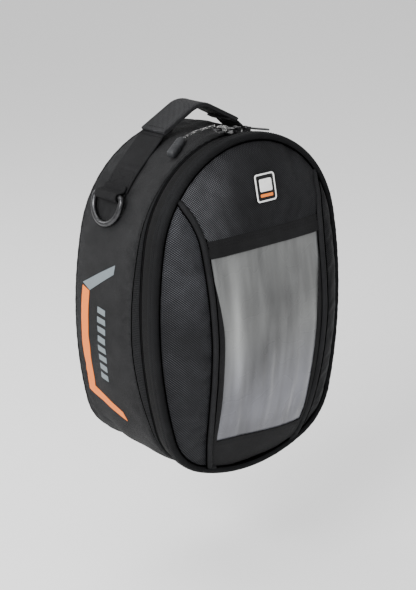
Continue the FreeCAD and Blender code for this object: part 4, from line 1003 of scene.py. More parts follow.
# the strip of cloth on which the lid turns
HS = np.linspace(HALF - 49.5, HALF + 49.5, 64)
hs = np.where(HS > HALF, HS - 2 * HALF, HS)
ty = np.linspace(8.2, 29.5, 26)
P = np.zeros((64, 26, 3))
for j, y in enumerate(ty):
    x, z = ring_xz("gus", 0.25, theta(hs), 0.3)
    groove = 0.55 * math.exp(-((y - 21.8) / 1.6) ** 2)
    P[:, j] = np.stack([x, y + SHIFT + 0 * x, z + groove + 0.06 * np.sin(HS * 0.9 + y)], 1)
N = normals(P)
if N[..., 2].mean() > 0:
    N = -N
U2, V2 = np.repeat(HS[:, None], 26, 1), np.repeat(ty[None], 64, 0)
hinge = sheet_obj("hinge_strip_cloth", P, N, 0.9, U2, V2, mat=M["strip"], slot="wall_fabric", repl=["lid_hinge_strip"])
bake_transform(hinge)


# ---------------------------------------------------------------- the lid's front
def front(x, z):
    """Height of the finished cloth above the rim plane: padded panels pulled down at the seams."""
    ax = np.abs(x)
    w, sh = rim_half(z), seam_half(z)
    h = dome(x, z)
    ds = np.where(w - sh > 0.3, ax - sh, 99.0)             # distance from the curved seam
    # distance from the rim, measured across the outline
    dr = rim_distance(x, z)
    side = (ds > 0) & (w - sh > 0.3)
    puff = np.where(side, 1.5 * smooth(2.5, 14, ds) * smooth(0.5, 12, dr), 0.9 * smooth(2.5, 18, -ds) * smooth(1, 14, dr))
    puff = np.where(ds > 50, 0.9 * smooth(1, 14, dr), puff)
    pull = -1.0 * np.exp(-(np.abs(ds) / 4.2) ** 2) - 0.9 * np.exp(-(dr / 2.0) ** 1.4)
    n = 0.5 * noise(x / 27.0 + 9, z / 38.0 + 4, 31) + 0.22 * noise(x / 11.0 + 3, z / 13.0, 32)
    n = n * smooth(2, 12, np.abs(ds)) * smooth(2, 12, dr)
    out = h + puff + pull + n
    if "left" in SIM:
        t = np.clip((ax - sh) / np.maximum(w - sh, 1.0), 0, 1)
        out = out + np.where(side, np.where(x < 0, SIM["left"](z, t), SIM["right"](z, t)), 0.0)
    if "top" in SIM:
        hw = np.where(w - sh > 1.0, sh, w)
        out = out + np.where((z > 224.0) & ~side, SIM["top"](z, np.clip(x / hw, -1, 1)), 0.0)
    return out


_tt = np.linspace(0, math.pi, 721)
_ex, _ez = ring_xz("rim", 6.1, _tt, 0.5)


def rim_distance(x, z):
    """Distance inside the rim's inner edge, worked out arc by arc."""
    x, z = np.abs(np.asarray(x, float)), np.asarray(z, float)
    best = np.full(np.broadcast(x, z).shape, 1e9)
    for i, (cx, cz, r) in enumerate(ARCS["rim"]):
        px, pz = x - cx, z - cz
        ang = np.arctan2(px, pz)
        ang = np.where(ang < 0, ang + 2 * math.pi, ang)
        inside = (ang >= A[i] - 1e-3) & (ang <= A[i + 1] + 1e-3)
        dd = (r - 6.1) - np.hypot(px, pz)
        best = np.where(inside, np.minimum(best, dd), best)
    best = np.where(best > 1e8, 60.0, best)
    best = np.minimum(best, np.maximum(z - 6.6, 0.0) + 0 * x)
    return np.maximum(best, 0.0)


def lid_sheet(name, X, Z, H, thick, flip=False, **kw):
    """X, Z (nu, nv) in the lid's plane and the height H above the rim plane."""
    P = np.stack([X, SHIFT - H, Z], -1)
    N = normals(P)
    if N[..., 1].mean() > 0:
        N = -N
    if flip:
        N = -N
    return sheet_obj(name, P, N, thick, X.copy(), Z.copy(), **kw)


SH = 3.2


def blown(name, z, t, xs, pressure=2.5, grow=0.02, cap=1.8):
    """Simulates one padded panel between its seams: z rows, t across, xs(z, t) giving x."""
    Z, T = np.repeat(z[:, None], len(t), 1), np.repeat(t[None], len(z), 0)
    X = xs(Z, T)
    P = np.stack([X, SHIFT - front(X, Z), Z], -1)
    N = normals(P)
    if N[..., 1].mean() > 0:
        N = -N
    pin = np.zeros(P.shape[:2], bool)
    pin[:1] = pin[-1:] = pin[:, :1] = pin[:, -1:] = True
    d = settle(P, N, pin, False, pressure, grow, cap)
    print("SIM", name, round(float(d.min()), 2), round(float(d.max()), 2), round(float(d.std()), 2))
    return Field(z, t, d)


t_ = np.linspace(0, 1, 18)
z_ = np.linspace(17, 252, 84)
left_ = blown("left", z_, t_, lambda Z, T: -(seam_half(Z) + np.maximum(rim_half(Z) - seam_half(Z), 0.5) * T))
right_ = blown("right", z_, t_, lambda Z, T: seam_half(Z) + np.maximum(rim_half(Z) - seam_half(Z), 0.5) * T)
top_ = blown("top", np.linspace(224.2, 294.0, 30), np.linspace(-1, 1, 52),
             lambda Z, T: np.where(rim_half(Z) - seam_half(Z) > 1.0, seam_half(Z), rim_half(Z)) * T)
SIM["left"], SIM["right"], SIM["top"] = left_, right_, top_


def side_xz(sg, nu=150, nv=44, z0=14.5, z1=257.0):
    z = np.linspace(z0, z1, nu)
    xs, xr = seam_half(z) + 0.6, rim_half(z) + 0.9
    t = np.linspace(0, 1, nv)
    X = xs[:, None] + np.maximum(xr - xs, 0.3)[:, None] * t[None]
    return sg * X, np.repeat(z[:, None], nv, 1)


for sg, nm in ((-1, "left"), (1, "right")):
    X, Z = side_xz(sg)
    H = front(X, Z)
    # the left panel takes the lit twill and the right one its darker copy with painted shade
    o = lid_sheet("side_panel_" + nm, X, Z, H, 1.6, mat=M["side" if sg < 0 else "side_painted_shade"], body="lid", slot="twill", repl=["panel_" + nm])


def mid_xz(z, nv, edge=0.6):
    w, sh = rim_half(z), seam_half(z)
    hw = np.where(w - sh > 1.0, sh - edge, w + 0.6)
    t = np.linspace(-1, 1, nv)
    return hw[:, None] * t[None], np.repeat(z[:, None], nv, 1)


# top panel: its top edge follows the rim
z = np.concatenate([np.linspace(221.0, 280.0, 46), np.linspace(281.0, 294.6, 22)])
X, Z = mid_xz(z, 90)
top_panel = lid_sheet("top_panel", X, Z, front(X, Z), 1.6, mat=M["top"], body="lid", slot="twill", repl=["panel_top"])

def skew(x):
    """The window's lower edge rises towards the left."""
    return 8.5 * smooth(34, -54, x) - 0.8 * smooth(10, 50, x)


z = np.concatenate([np.linspace(6.8, 14, 14), np.linspace(14.8, 33.0, 20)])
X, Z = mid_xz(z, 90)
low = front(X, Z) + 0.7 * smooth(33.5, 31.0, Z)
Zt = Z + skew(X) * smooth(16, 33, Z)
bottom_panel = lid_sheet("bottom_panel", X, Zt, front(X, Zt) + 0.55 * smooth(14, 24, Z) * (1 - smooth(31.6, 33.0, Z)) + 0.1, 1.4,
                         mat=M["strip"], body="lid", slot="twill", repl=["panel_bottom"])


# window film with standing creases
def film_height(X, Z):
    f = front(X, Z) - 0.9
    edge = smooth(0, 14, seam_half(Z) - np.abs(X)) * smooth(33, 49, Z - np.maximum(skew(X), 0.0)) * (1 - smooth(196, 211, Z))
    w = 0.75 * noise(X / 9.0 + 3, Z / 75.0 + 5, 41) + 0.35 * noise(X / 4.5, Z / 48.0, 42) + 1.1 * noise(X / 26.0, Z / 60.0 + 2, 43)
    w = w + 0.5 * noise((X + 0.35 * Z) / 13.0, (Z - 0.4 * X) / 55.0, 44)
    return f + w * edge * 0.85


z = np.linspace(30.4, 213.0, 150)
X, Z = mid_xz(z, 110)
film = lid_sheet("window_film_sheet", X, Z, film_height(X, Z), 0.6, mat=M["film"], body="lid", slot="window_film",
                 repl=["window_sheet"])

# folded binding along the film's sides, widest low down
for sg, nm in ((-1, "left"), (1, "right")):
    z = np.linspace(31.5, 206.0, 130)
    w = 5.6 * (1 - smooth(140, 205, z)) * (0.5 + 0.5 * smooth(34, 84, z)) + 0.25
    t = np.array([0, 0.12, 0.3, 0.5, 0.7, 0.86, 0.95, 1.0])
    outer = seam_half(z) - 1.8
    inner = seam_half(z) - 3.4 - w
    Z = np.repeat(z[:, None], len(t), 1)
    X = sg * (outer[:, None] + (inner - outer)[:, None] * t[None])
    H = front(X, Z) + 0.30 * smooth(0.02, 0.4, t)[None] * (1 - smooth(0.86, 1.0, t))[None] + 0.12
    lid_sheet("window_side_binding_" + nm, X, Z, H, 1.1, flip=False, mat=M["strip"], body="lid", slot="wall_fabric")

# hem over the window's top edge
z = np.linspace(209.6, 224.4, 26)
X, Z = mid_xz(z, 90)
lift = 0.75 * smooth(209.6, 210.6, Z) * (1 - smooth(223.2, 224.4, Z)) + 0.45 * np.exp(-((Z - 211.3) / 1.2) ** 2)
lift = lift - 0.35 * np.exp(-((Z - 219.3) / 0.7) ** 2) - 0.35 * np.exp(-((Z - 221.9) / 0.7) ** 2)
hem = lid_sheet("window_hem_strip", X, Z, front(X, Z) + lift, 1.5, mat=M["strip"], body="lid", slot="wall_fabric",
                repl=["window_hem"])

# curved seams: a covered cord lying over both panel edges
for sg, nm in ((-1, "left"), (1, "right")):
    z = np.concatenate([np.linspace(9.5, 30, 18), np.linspace(31.5, 240, 150), np.linspace(241, 260.5, 20)])
    x = pchip(SEAM_X, z)
    x = np.where(z < 11, 50 - (11 - z) * 0.9, x)
    x = np.minimum(x, rim_half(z) + 0.8)
    hgt = dome(np.minimum(x, seam_half(z)), z)
    ctr = np.stack([sg * x, SHIFT - hgt, z], 1)
    ctr = resample(ctr, 1.6)
    Lp = arclen(ctr)
    tang, side, nn = frames_along(ctr, np.stack([np.zeros(len(ctr)), -np.ones(len(ctr)), np.zeros(len(ctr))], 1))
    sec = np.array([(3.6, -0.9), (3.3, -0.1), (2.7, 0.35), (2.35, 0.35), (2.0, 0.9), (1.2, 1.65), (0.3, 1.95), (-0.7, 1.8),
                    (-1.6, 1.3), (-2.05, 0.6), (-2.35, 0.3), (-2.8, 0.3), (-3.3, -0.1), (-3.6, -0.9), (-2.0, -1.5), (2.0, -1.5)])
    amp = 0.12 * np.sin(Lp * 0.8) + 0.10 * np.sin(Lp * 0.31 + 1)
    P = ctr[:, None] + side[:, None] * sec[None, :, :1] + nn[:, None] * (sec[None, :, 1:] + amp[:, None, None] * (sec[None, :, 1:] > 0.5))
    taper = np.interp(Lp, [0, 8, Lp[-1] - 12, Lp[-1]], [0.75, 1.0, 1.0, 0.6])
    P = ctr[:, None] + (P - ctr[:, None]) * taper[:, None, None]
    sink = np.interp(Lp, [0, 5, Lp[-1] - 6, Lp[-1]], [2.6, 0.0, 0.0, 1.6])
    P[..., 1] += sink[:, None]
    # painted shadow: a near-black tube along each side of the piping cord, where shade falls in the seam
    for w, side_nm in ((-3.75, "a"), (3.75, "b")):
        fold = ctr + side * w * taper[:, None] + nn * -0.15
        fold[:, 1] += sink
        tube_obj("seam_fold_%s_%s" % (side_nm, nm), fold, 0.62, up=nn, k=6, mat=M["fold"], body="lid", slot="coarse_fabric")
    sweep_obj("seam_piping_cord_" + nm, P, np.concatenate([Lp, Lp[-1:]]), perimeter(sec), mat=M["piping"], body="lid",
              slot="wall_fabric", repl=["seam_piping_" + nm])


# ---------------------------------------------------------------- inside the lid
def lid_back(name, X, Z, off, repl, thick=0.5, curl=None, mat="lining", slot="lining"):
    h = dome(X, Z) - off
    if curl is not None:
        h = h + curl
    return lid_sheet(name, X, Z, h, thick, mat=M[mat], body="lid", slot=slot, repl=repl)


# lining round the window, one ring of cloth from the rim to the window's edge, whose edges turn up to the panels
na, nr = 260, 20
ang = np.linspace(-math.pi, math.pi, na, endpoint=False)
ox, oz = ring_xz("rim", 7.0, ang, 0.6)


def window_edge(ang):
    """Edge of the window opening seen from its middle, a rounded rectangle between the seams."""
    cx, cz = 0.0, 121.0
    dx, dz = np.sin(ang), np.cos(ang)
    w = 55.5
    up, dn = 212.0 - cz, cz - 30.0
    hh = np.where(dz > 0, up, dn)
    t = 1.0 / np.maximum((np.abs(dx / w) ** 8 + np.abs(dz / hh) ** 8) ** 0.125, 1e-6)
    return cx + dx * t, cz + dz * t


ra = np.arctan2(ox, oz - 121.0)
order = np.argsort(ra)
ix, iz = window_edge(ra)
t = np.linspace(0, 1, nr)
X = ix[:, None] + (ox - ix)[:, None] * t[None]
Z = iz[:, None] + (oz - iz)[:, None] * t[None]
curl = 4.4 * (1 - smooth(0.0, 0.10, t))[None] + 3.9 * smooth(0.90, 1.0, t)[None] + 0 * X
off = 6.6 - curl
Hh = dome(X, Z) - off + 0.25 * noise(X / 13.0, Z / 13.0, 51)
Hh = np.where(rim_distance(X, Z) < 3.0, np.minimum(Hh, 0.6), Hh)
P = np.stack([X, SHIFT - Hh, Z], -1)
N = normals(P, True)
if N[..., 1].mean() < 0:
    N = -N
U = np.concatenate([X, X[:1]], 0)
V = np.concatenate([Z, Z[:1]], 0)
lid_lin = sheet_obj("lid_lining_cloth", P, N, 0.5, U, V, wrap_u=True, mat=M["lining"], body="lid", slot="lining",
                    repl=["lid_lining", "lid_foam"])

# backing of the phone pocket, open at its top edge
z = np.linspace(31.5, 200.0, 90)
sh = seam_half(z) - 3.4
t = np.linspace(-1, 1, 60)
X, Z = sh[:, None] * t[None], np.repeat(z[:, None], 60, 1)
drop = 12.9 * smooth(0.0, 1.0, np.minimum((1 - np.abs(t))[None] * sh[:, None] / 7.0, 1.0)) * smooth(31.5, 40, Z)
drop = np.minimum(np.maximum(drop, 2.6), 12.9)
Hh = dome(X, Z) - drop + 0.3 * noise(X / 16.0, Z / 20.0, 53) * smooth(34, 44, Z)
pocket = lid_sheet("pocket_backing_cloth", X, Z, Hh, 0.7, mat=M["lining"], body="lid", slot="lining", repl=["pocket_backing"])
edge = np.stack([X[-1], SHIFT - Hh[-1], Z[-1]], 1)
tube_obj("pocket_binding", edge, 1.3, up=(0, -1, 0), k=8, mat=M["strip"], body="lid", slot="lining")

# ---------------------------------------------------------------- badge: plain blank plate with a border
bcx, bcz, bw, bt = 1.5, 259.0, 11.25, 12.0


def badge_piece(name, poly_fn, h0, h1, mat, slot, repl=(), n=24):
    """A raised plate whose outline is poly_fn(ring, n) -> (x, z)."""
    rings = []
    for f, hh in ((0.0, h1), (0.35, h1), (0.75, h1), (0.93, h1), (0.985, h1 - 0.06), (1.0, h1 - 0.25), (1.0, h0)):
        x, z = poly_fn(f, n)
        rings.append(np.stack([x, SHIFT - (front(x, z) * 1.0 + hh), z], 1))
    P = np.array(rings)[1:]
    nu, nv = P.shape[:2]
    F, C = grid_faces(nu, nv, False, True)
    centre_top = np.array([[bcx, SHIFT - (float(front(np.array([bcx]), np.array([bcz]))[0]) + h1), bcz]])
    verts = np.concatenate([P.reshape(-1, 3), np.array([P[0].mean(0)]), np.array([P[-1].mean(0)])])
    faces = [list(f) for f in F]
    for j in range(nv):
        faces.append([nu * nv, (j + 1) % nv, j])
        faces.append([nu * nv + 1, (nu - 1) * nv + j, (nu - 1) * nv + (j + 1) % nv])
    uv = np.concatenate([[[verts[i][0], verts[i][2]] for i in f] for f in faces])
    return make_obj(name, verts, faces, uv, mat=mat, body="lid", slot=slot, repl=repl, sharp=50)


def rrect(cx, cz, hw, hh, r):
    def fn(f, n):
        pts = rounded_section(2 * hw, 2 * hh, r, n // 4)
        return cx + pts[:, 0] * f, cz + pts[:, 1] * f
    return fn


badge_piece("badge_plate", rrect(bcx, bcz, bw, bt, 2.6), -0.6, 1.1, M["badge"], "badge_rubber", ["badge"])
# border: a closed loop of raised section
loop = rounded_section(2 * bw - 2.2, 2 * bt - 2.2, 2.0, 8)
lp = np.stack([bcx + loop[:, 0], 0 * loop[:, 0], bcz + loop[:, 1]], 1)
lp[:, 1] = SHIFT - (front(lp[:, 0], lp[:, 2]) + 1.05)
nl = len(lp)
tang = np.roll(lp, -1, 0) - np.roll(lp, 1, 0)
tang /= np.linalg.norm(tang, axis=1, keepdims=True)
upv = np.array([0, -1.0, 0]) - tang * (tang[:, 1:2] * -1.0)
upv /= np.linalg.norm(upv, axis=1, keepdims=True)
sdv = np.cross(tang, upv)
sec = rounded_section(1.35, 0.9, 0.3, 2)
P = lp[:, None] + sdv[:, None] * sec[None, :, :1] + upv[:, None] * sec[None, :, 1:]
sweep_obj("badge_border", P, np.arange(nl + 1.0), perimeter(sec), wrap_u=True, mat=M["pale"], body="lid", slot="badge_rubber")
badge_piece("badge_blank", rrect(bcx, bcz + 2.1, 6.6, 5.2, 1.2), 0.8, 1.45, M["pale"], "badge_rubber")
badge_piece("badge_stripe", rrect(bcx, bcz - 6.3, 6.6, 1.25, 0.5), 0.8, 1.5, M["orange_hard"], "print_orange", ["badge_bar"])

# ---------------------------------------------------------------- prints on the side walls
CHEVRON = [(102.3, 182.4), (91.1, 187.2), (55.9, 165.6), (54.9, 157.4)]
STRIPE = [(102.3, 185.0), (111.7, 287.3), (59.5, 304.0), (62.6, 295.6), (100.0, 280.6), (91.8, 187.8)]


def clip_poly(poly, cell):
    """Sutherland-Hodgman clip of a convex cell by nothing more than the cell's own box."""
    x0, y0, x1, y1 = cell
    for ax, lim, sgn in ((0, x0, 1), (0, x1, -1), (1, y0, 1), (1, y1, -1)):
        out = []
        for i in range(len(poly)):
            p, q = poly[i - 1], poly[i]
            ip, iq = (p[ax] - lim) * sgn >= 0, (q[ax] - lim) * sgn >= 0
            if ip != iq:
                t = (lim - p[ax]) / (q[ax] - p[ax])
                out.append((p[0] + (q[0] - p[0]) * t, p[1] + (q[1] - p[1]) * t))
            if iq:
                out.append(q)
        poly = out
        if len(poly) < 3:
            return []
    return poly


def print_obj(name, polys, mat, slot, repl, sg, lift=0.28, thick=0.22):
    """Flat shapes in (y, s) pressed onto the wall: cut into small cells so that they follow its surface."""
    bm = bmesh.new()
    for poly in polys:
        vs = [bm.verts.new((p[0], p[1], 0)) for p in poly]
        bm.faces.new(vs)
    bmesh.ops.triangulate(bm, faces=bm.faces[:])
    for _ in range(6):
        long = [e for e in bm.edges if e.calc_length() > 3.5]
        if not long:
            break
        bmesh.ops.subdivide_edges(bm, edges=long, cuts=1)
        bmesh.ops.triangulate(bm, faces=[f for f in bm.faces if len(f.verts) > 3])
    co = np.array([(v.co.x, v.co.y) for v in bm.verts])
    tris = [[v.index for v in f.verts] for f in bm.faces]
    bm.verts.index_update()
    tris = [[v.index for v in f.verts] for f in bm.faces]
    border = [(e.verts[0].index, e.verts[1].index) for e in bm.edges if len(e.link_faces) == 1]
    bm.free()
    out, _ = wall_point(sg * co[:, 1], co[:, 0], lift)
    inn, _ = wall_point(sg * co[:, 1], co[:, 0], lift - thick)
    n = len(co)
    faces = [list(t) for t in tris] + [[i + n for i in t[::-1]] for t in tris] + [[a, b, b + n, a + n] for a, b in border]
    st = np.concatenate([np.stack([sg * co[:, 1], co[:, 0]], 1)] * 2)
    uv = np.concatenate([[st[i] for i in f] for f in faces])
    return make_obj(name, np.concatenate([out, inn]), faces, uv, mat=mat, body="shell", slot=slot, repl=repl, sharp=60)


bars = []
for i in range(8):
    s0 = 198.8 + i * 8.9
    f = 68.5 + 4.8 * i / 7.0
    bars.append([(f, s0 + 1.6), (f + 10.7, s0), (f + 10.9, s0 + 5.4), (f + 0.2, s0 + 7.0)])
for sg, nm in ((-1, "left"), (1, "right")):
    print_obj("chevron_print_" + nm, [CHEVRON], M["grey"], "print_grey", ["side_chevron_" + nm], sg)
    print_obj("stripe_print_" + nm, [STRIPE], M["orange"], "print_orange", ["side_stripe_" + nm], sg)
    print_obj("bars_print_" + nm, bars, M["grey"], "print_grey", ["side_bars_" + nm], sg)

# ---------------------------------------------------------------- webbing: patches, D-ring loops, handle
RS = 97.54
rm = RS + 0.9
top_x, top_z = 43.1, 295.2
reach = math.hypot(top_x, top_z - ZC)
t_ang = math.atan2(top_x, top_z - ZC) + math.acos(rm / reach)
p_ang = math.radians(57.0)
tx, tz = rm * math.sin(t_ang), ZC + rm * math.cos(t_ang)
WY = 76.0


def strap_path(sg):
    a = np.linspace(t_ang, p_ang, 16)
    arc = np.stack([rm * np.sin(a), np.full(16, WY + SHIFT), ZC + rm * np.cos(a)], 1)
    line = np.array([[top_x, WY + SHIFT, top_z]]) + (arc[0] - np.array([top_x, WY + SHIFT, top_z])) * np.linspace(0, 1, 14)[:-1, None]
    pts = resample(np.vstack([line, arc]), 1.6)
    pts[:, 0] *= sg
    return pts


def outward(pts):
    v = pts - np.array([0, 0, ZC])
    v[:, 1] = 0
    return v / np.linalg.norm(v, axis=1, keepdims=True)


shell_thread, lid_thread = Heap(), Heap()
for sg, nm in ((-1, "left"), (1, "right")):
    pts = strap_path(sg)
    n = outward(pts)
    sec = belt_section(32.0, 1.7, 18)
    P = sweep_path(pts, n, sec)
    L = arclen(pts)
    rip = 0.06 * np.sin(L * 2.1)[:, None, None] * n[:, None]
    sweep_obj("strap_webbing_" + nm, P + rip, np.concatenate([L, L[-1:]]), perimeter(sec), mat=M["web"], body="shell",
              slot="webbing", repl=["strap_patch_" + nm])
    # box and cross, and the bar where the webbing leaves the wall
    t, side, nn = frames_along(pts, n)

    def on_strap(q, w, pts=pts, L=L, side=side, nn=nn):
        c = np.array([np.interp(q, L, pts[:, k]) for k in range(3)])
        sd = np.array([np.interp(q, L, side[:, k]) for k in range(3)])
        no = np.array([np.interp(q, L, nn[:, k]) for k in range(3)])
        return c + sd * w + no * 0.85, no
    l0 = float(np.linalg.norm(pts[0] - np.array([sg * tx, WY + SHIFT, tz])))
    q0, q1 = l0 + 4.0, L[-1] - 4.5
    lines = [[(q0, -13), (q0, 13)], [(q1, -13), (q1, 13)], [(q0, -13), (q1, -13)], [(q0, 13), (q1, 13)],
             [(q0, -13), (q1, 13)], [(q0, 13), (q1, -13)], [(l0 - 0.5, -14), (l0 - 0.5, 14)], [(l0 - 2.2, -14), (l0 - 2.2, 14)]]
    for (qa, wa), (qb, wb) in lines:
        k = 14
        pp = [on_strap(qa + (qb - qa) * i / k, wa + (wb - wa) * i / k) for i in range(k + 1)]
        stitch_row(shell_thread, np.array([p for p, _ in pp]), np.array([m for _, m in pp]), 2.6, 1.9, 0.26)
    # loop over the D-ring's bar
    ra_ = math.radians(60.5)
    C = np.array([103.6 * math.sin(ra_), ZC + 103.6 * math.cos(ra_)])
    er, et = np.array([math.sin(ra_), math.cos(ra_)]), np.array([math.cos(ra_), -math.sin(ra_)])
    tr = [(-11.0, -2.9), (-8.0, -3.2), (-5.4, -2.3), (-3.4, 0.4), (-1.9, 3.1), (0.3, 3.85), (2.6, 2.8), (3.8, 0.3), (3.2, -2.3),
          (1.2, -3.95), (-1.4, -4.6), (-5.2, -5.1)]
    pp = catmull([(C[0] + et[0] * a + er[0] * b, WY + SHIFT, C[1] + et[1] * a + er[1] * b) for a, b in tr], 6)
    pp[:, 0] *= sg
    cen = np.array([sg * C[0], WY + SHIFT, C[1]])
    up = np.zeros_like(pp)
    tang_, _, _ = frames_along(pp, (0, 1, 0))
    up = np.cross(tang_, np.array([0, 1.0, 0])) * (1 if sg > 0 else -1)
    if ((pp[len(pp) // 2] - cen) * up[len(pp) // 2]).sum() < 0:
        up = -up
    sec = belt_section(30.0, 1.45, 16)
    P = sweep_path(pp, up, sec)
    L2 = arclen(pp)
    sweep_obj("ring_loop_" + nm, P, np.concatenate([L2, L2[-1:]]), perimeter(sec), mat=M["web"], body="shell", slot="webbing",
              repl=["dring_loop_" + nm])
    row = np.stack([pp[3]] * 2)
    for q in (3.4, 5.2):
        c = np.array([np.interp(q, L2, pp[:, k]) for k in range(3)])
        no = np.array([np.interp(q, L2, up[:, k]) for k in range(3)])
        no /= np.linalg.norm(no)
        line = np.array([c + np.array([0, w, 0]) + no * 0.75 for w in np.linspace(-13, 13, 14)])
        stitch_row(shell_thread, line, no, 2.4, 1.8, 0.26)

# handle grip
gc = 317.2 - 22.0
gx, gz = 41.0, 298.6 - gc
g_ang = math.atan2(gx, gz) - math.acos(22.0 / math.hypot(gx, gz))
a = np.linspace(-g_ang, g_ang, 26)
arc = np.stack([22.0 * np.sin(a), np.full(26, WY + SHIFT), gc + 22.0 * np.cos(a)], 1)
endL, endR = np.array([-gx, WY + SHIFT, 298.6]), np.array([gx, WY + SHIFT, 298.6])
path = np.vstack([endL + (arc[0] - endL) * np.linspace(0, 1, 12)[:-1, None], arc,
                  arc[-1] + (endR - arc[-1]) * np.linspace(0, 1, 12)[1:, None]])
path = resample(path, 1.5)
L = arclen(path)
n = outward(path - np.array([0, 0, 0]))
n = np.stack([-np.gradient(path[:, 2]), 0 * path[:, 0], np.gradient(path[:, 0])], 1)
n /= np.linalg.norm(n, axis=1, keepdims=True)
x = np.linspace(-14.6, 14.6, 20)
sec_top = np.stack([x[::-1], 2.0 + 0.15 * np.exp(-((np.abs(x[::-1]) - 13.0) / 1.0) ** 2)], 1)
sec_low = np.stack([x, -2.0 - 0.1 * np.exp(-((np.abs(x) - 13.0) / 1.0) ** 2)], 1)
right = np.array([(15.6, -1.75), (16.0, -1.0), (15.55, -0.12), (15.55, 0.12), (16.0, 1.0), (15.6, 1.75)])
left = right[::-1] * np.array([-1, 1])
sec = np.vstack([sec_low, right, sec_top, left])
P = sweep_path(path, n, sec)
P = P + (0.12 * np.sin(L * 0.7)[:, None] * np.sign(sec[None, :, 1]))[..., None] * n[:, None] * 0.3
thin = np.interp(L, [0, 2.0, L[-1] - 2.0, L[-1]], [0.82, 1, 1, 0.82])
P = path[:, None] + (P - path[:, None]) * (1 + (thin[:, None, None] - 1) * np.abs(n[:, None]))
grip = sweep_obj("handle_webbing", P, np.concatenate([L, L[-1:]]), perimeter(sec), mat=M["grip"], body="handle",
                 slot="grip_webbing", repl=["handle_grip"])
grip_thread = Heap()
for w in (-13.4, 13.4):
    stitch_row(grip_thread, path[3:-3] + np.array([0, w, 0]) + n[3:-3] * 1.9, n[3:-3], 3.0, 2.2, 0.24)
for q in (4.0, L[-1] - 4.0):
    c = np.array([np.interp(q, L, path[:, k]) for k in range(3)])
    no = np.array([np.interp(q, L, n[:, k]) for k in range(3)])
    stitch_row(grip_thread, np.array([c + np.array([0, w, 0]) + no * 2.05 for w in np.linspace(-13, 13, 12)]), no, 2.4, 1.8, 0.27)
grip_thread.obj("handle_stitching", mat=M["thread_dark"], body="handle", slot="grip_webbing")

# webbing between the patch's end and the grip's end, bending with the handle
for sg, nm in ((-1, "left"), (1, "right")):
    a0 = np.array([top_x, WY + SHIFT, top_z])
    d0 = np.array([top_x - tx, 0, top_z - tz])
    d0 /= np.linalg.norm(d0)
    d1 = (arc[-1] - endR)
    d1 /= np.linalg.norm(d1)
    nr_ = np.array([d1[2], 0, -d1[0]]) if d1[2] * 0 - d1[0] * 1 > 0 else np.array([-d1[2], 0, d1[0]])
    under = endR + d1 * 9.0 - np.array([math.sin(math.atan2(1, 1)), 0, math.cos(math.atan2(1, 1))]) * 0
    nrm = n[-4]
    ctl = [a0 - d0 * 5.0, a0, a0 + d0 * 2.2 + np.array([0.2, 0, 0]), endR + d1 * 2.5 - nrm * 2.6, endR + d1 * 9.0 - nrm * 2.75]
    pts = resample(catmull(ctl, 8), 1.1)
    pts[:, 0] *= sg
    nn = np.stack([-np.gradient(pts[:, 2]), 0 * pts[:, 0], np.gradient(pts[:, 0])], 1)
    nn /= np.linalg.norm(nn, axis=1, keepdims=True)
    if nn[0, 2] < 0:
        nn = -nn
    sec = belt_section(31.4, 1.5, 14)
    P = sweep_path(pts, nn, sec)
    Lr = arclen(pts)
    root = sweep_obj("handle_root_" + nm, P, np.concatenate([Lr, Lr[-1:]]), perimeter(sec), mat=M["web"], slot="webbing")
    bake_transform(root)

# ---------------------------------------------------------------- pulls: cord, its wrap and the moulded end
pin = np.array([6.89675, 21.8 + SHIFT, 301.73999])
rise = math.radians(6.0)
ld = np.array([-math.cos(rise), 0, math.sin(rise)])
lu = np.array([math.sin(rise), 0, math.cos(rise)])
ly = np.array([0, 1.0, 0])
turns = 3
q = np.linspace(0, 1, turns * 40 + 1)
ph = q * turns * 2 * math.pi
wrap_pts = (pin + ld[None] * (12.6 + q * 7.2)[:, None] + ly[None] * (4.9 * np.cos(ph))[:, None] + lu[None] * (2.1 * np.sin(ph))[:, None])
tube_obj("cord_wrap", wrap_pts, 1.05, up=ld, k=9, mat=M["cord"], body="pull_left", slot="cord", repl=["pull_cord_knot"])

ROUTE = [(-13.0, 26.4, 306.4), (-18.6, 30.4, 304.4), (-24.4, 35.2, 302.6), (-30.0, 39.2, 299.9), (-37.0, 41.5, 296.2)]
cu = bpy.data.curves.new("pull_cord_line", "CURVE")
cu.dimensions = "3D"
sp = cu.splines.new("NURBS")
sp.points.add(len(ROUTE) - 1)
for i, (x, y, z) in enumerate(ROUTE):
    sp.points[i].co = (x / 1000.0, (y + SHIFT) / 1000.0, z / 1000.0, 1.0)
sp.order_u = 3
sp.use_endpoint_u = True
sp.resolution_u = 24
cu.bevel_depth = 0.0011
cu.bevel_resolution = 5
cu.use_fill_caps = True
cord = bpy.data.objects.new("pull_cord_line", cu)
bpy.context.scene.collection.objects.link(cord)
cu.materials.append(M["cord"])
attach(cord, "pull_left")
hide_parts("pull_cord")

e0 = np.array([-36.3, 41.3 + SHIFT, 296.6])
e1 = np.array([-56.3, 33.0 + SHIFT, 287.0])
ax = e1 - e0
el = float(np.linalg.norm(ax))
ax = ax / el
prof = [(0.0, 1.5), (0.15, 2.2), (0.9, 3.0), (2.2, 3.35), (3.2, 4.0), (4.0, 4.2), (5.2, 4.2), (5.8, 3.9), (6.4, 3.9), (7.0, 4.2), (8.2, 4.2),
        (8.8, 3.9), (9.4, 3.9), (10.0, 4.2), (11.2, 4.2), (11.8, 3.9), (12.4, 3.9), (13.0, 4.2), (el - 3.0, 4.2), (el - 1.4, 3.9),
        (el - 0.4, 3.1), (el, 2.2)]
pp = np.array([e0 + ax * a for a, _ in prof])
rr = np.array([b for _, b in prof])
kk = 22
ang = np.linspace(0, 2 * math.pi, kk, endpoint=False)
u1 = np.cross(ax, [0, 0, 1.0])
u1 /= np.linalg.norm(u1)
u2 = np.cross(u1, ax)
sec = np.stack([np.cos(ang), np.sin(ang)], 1)
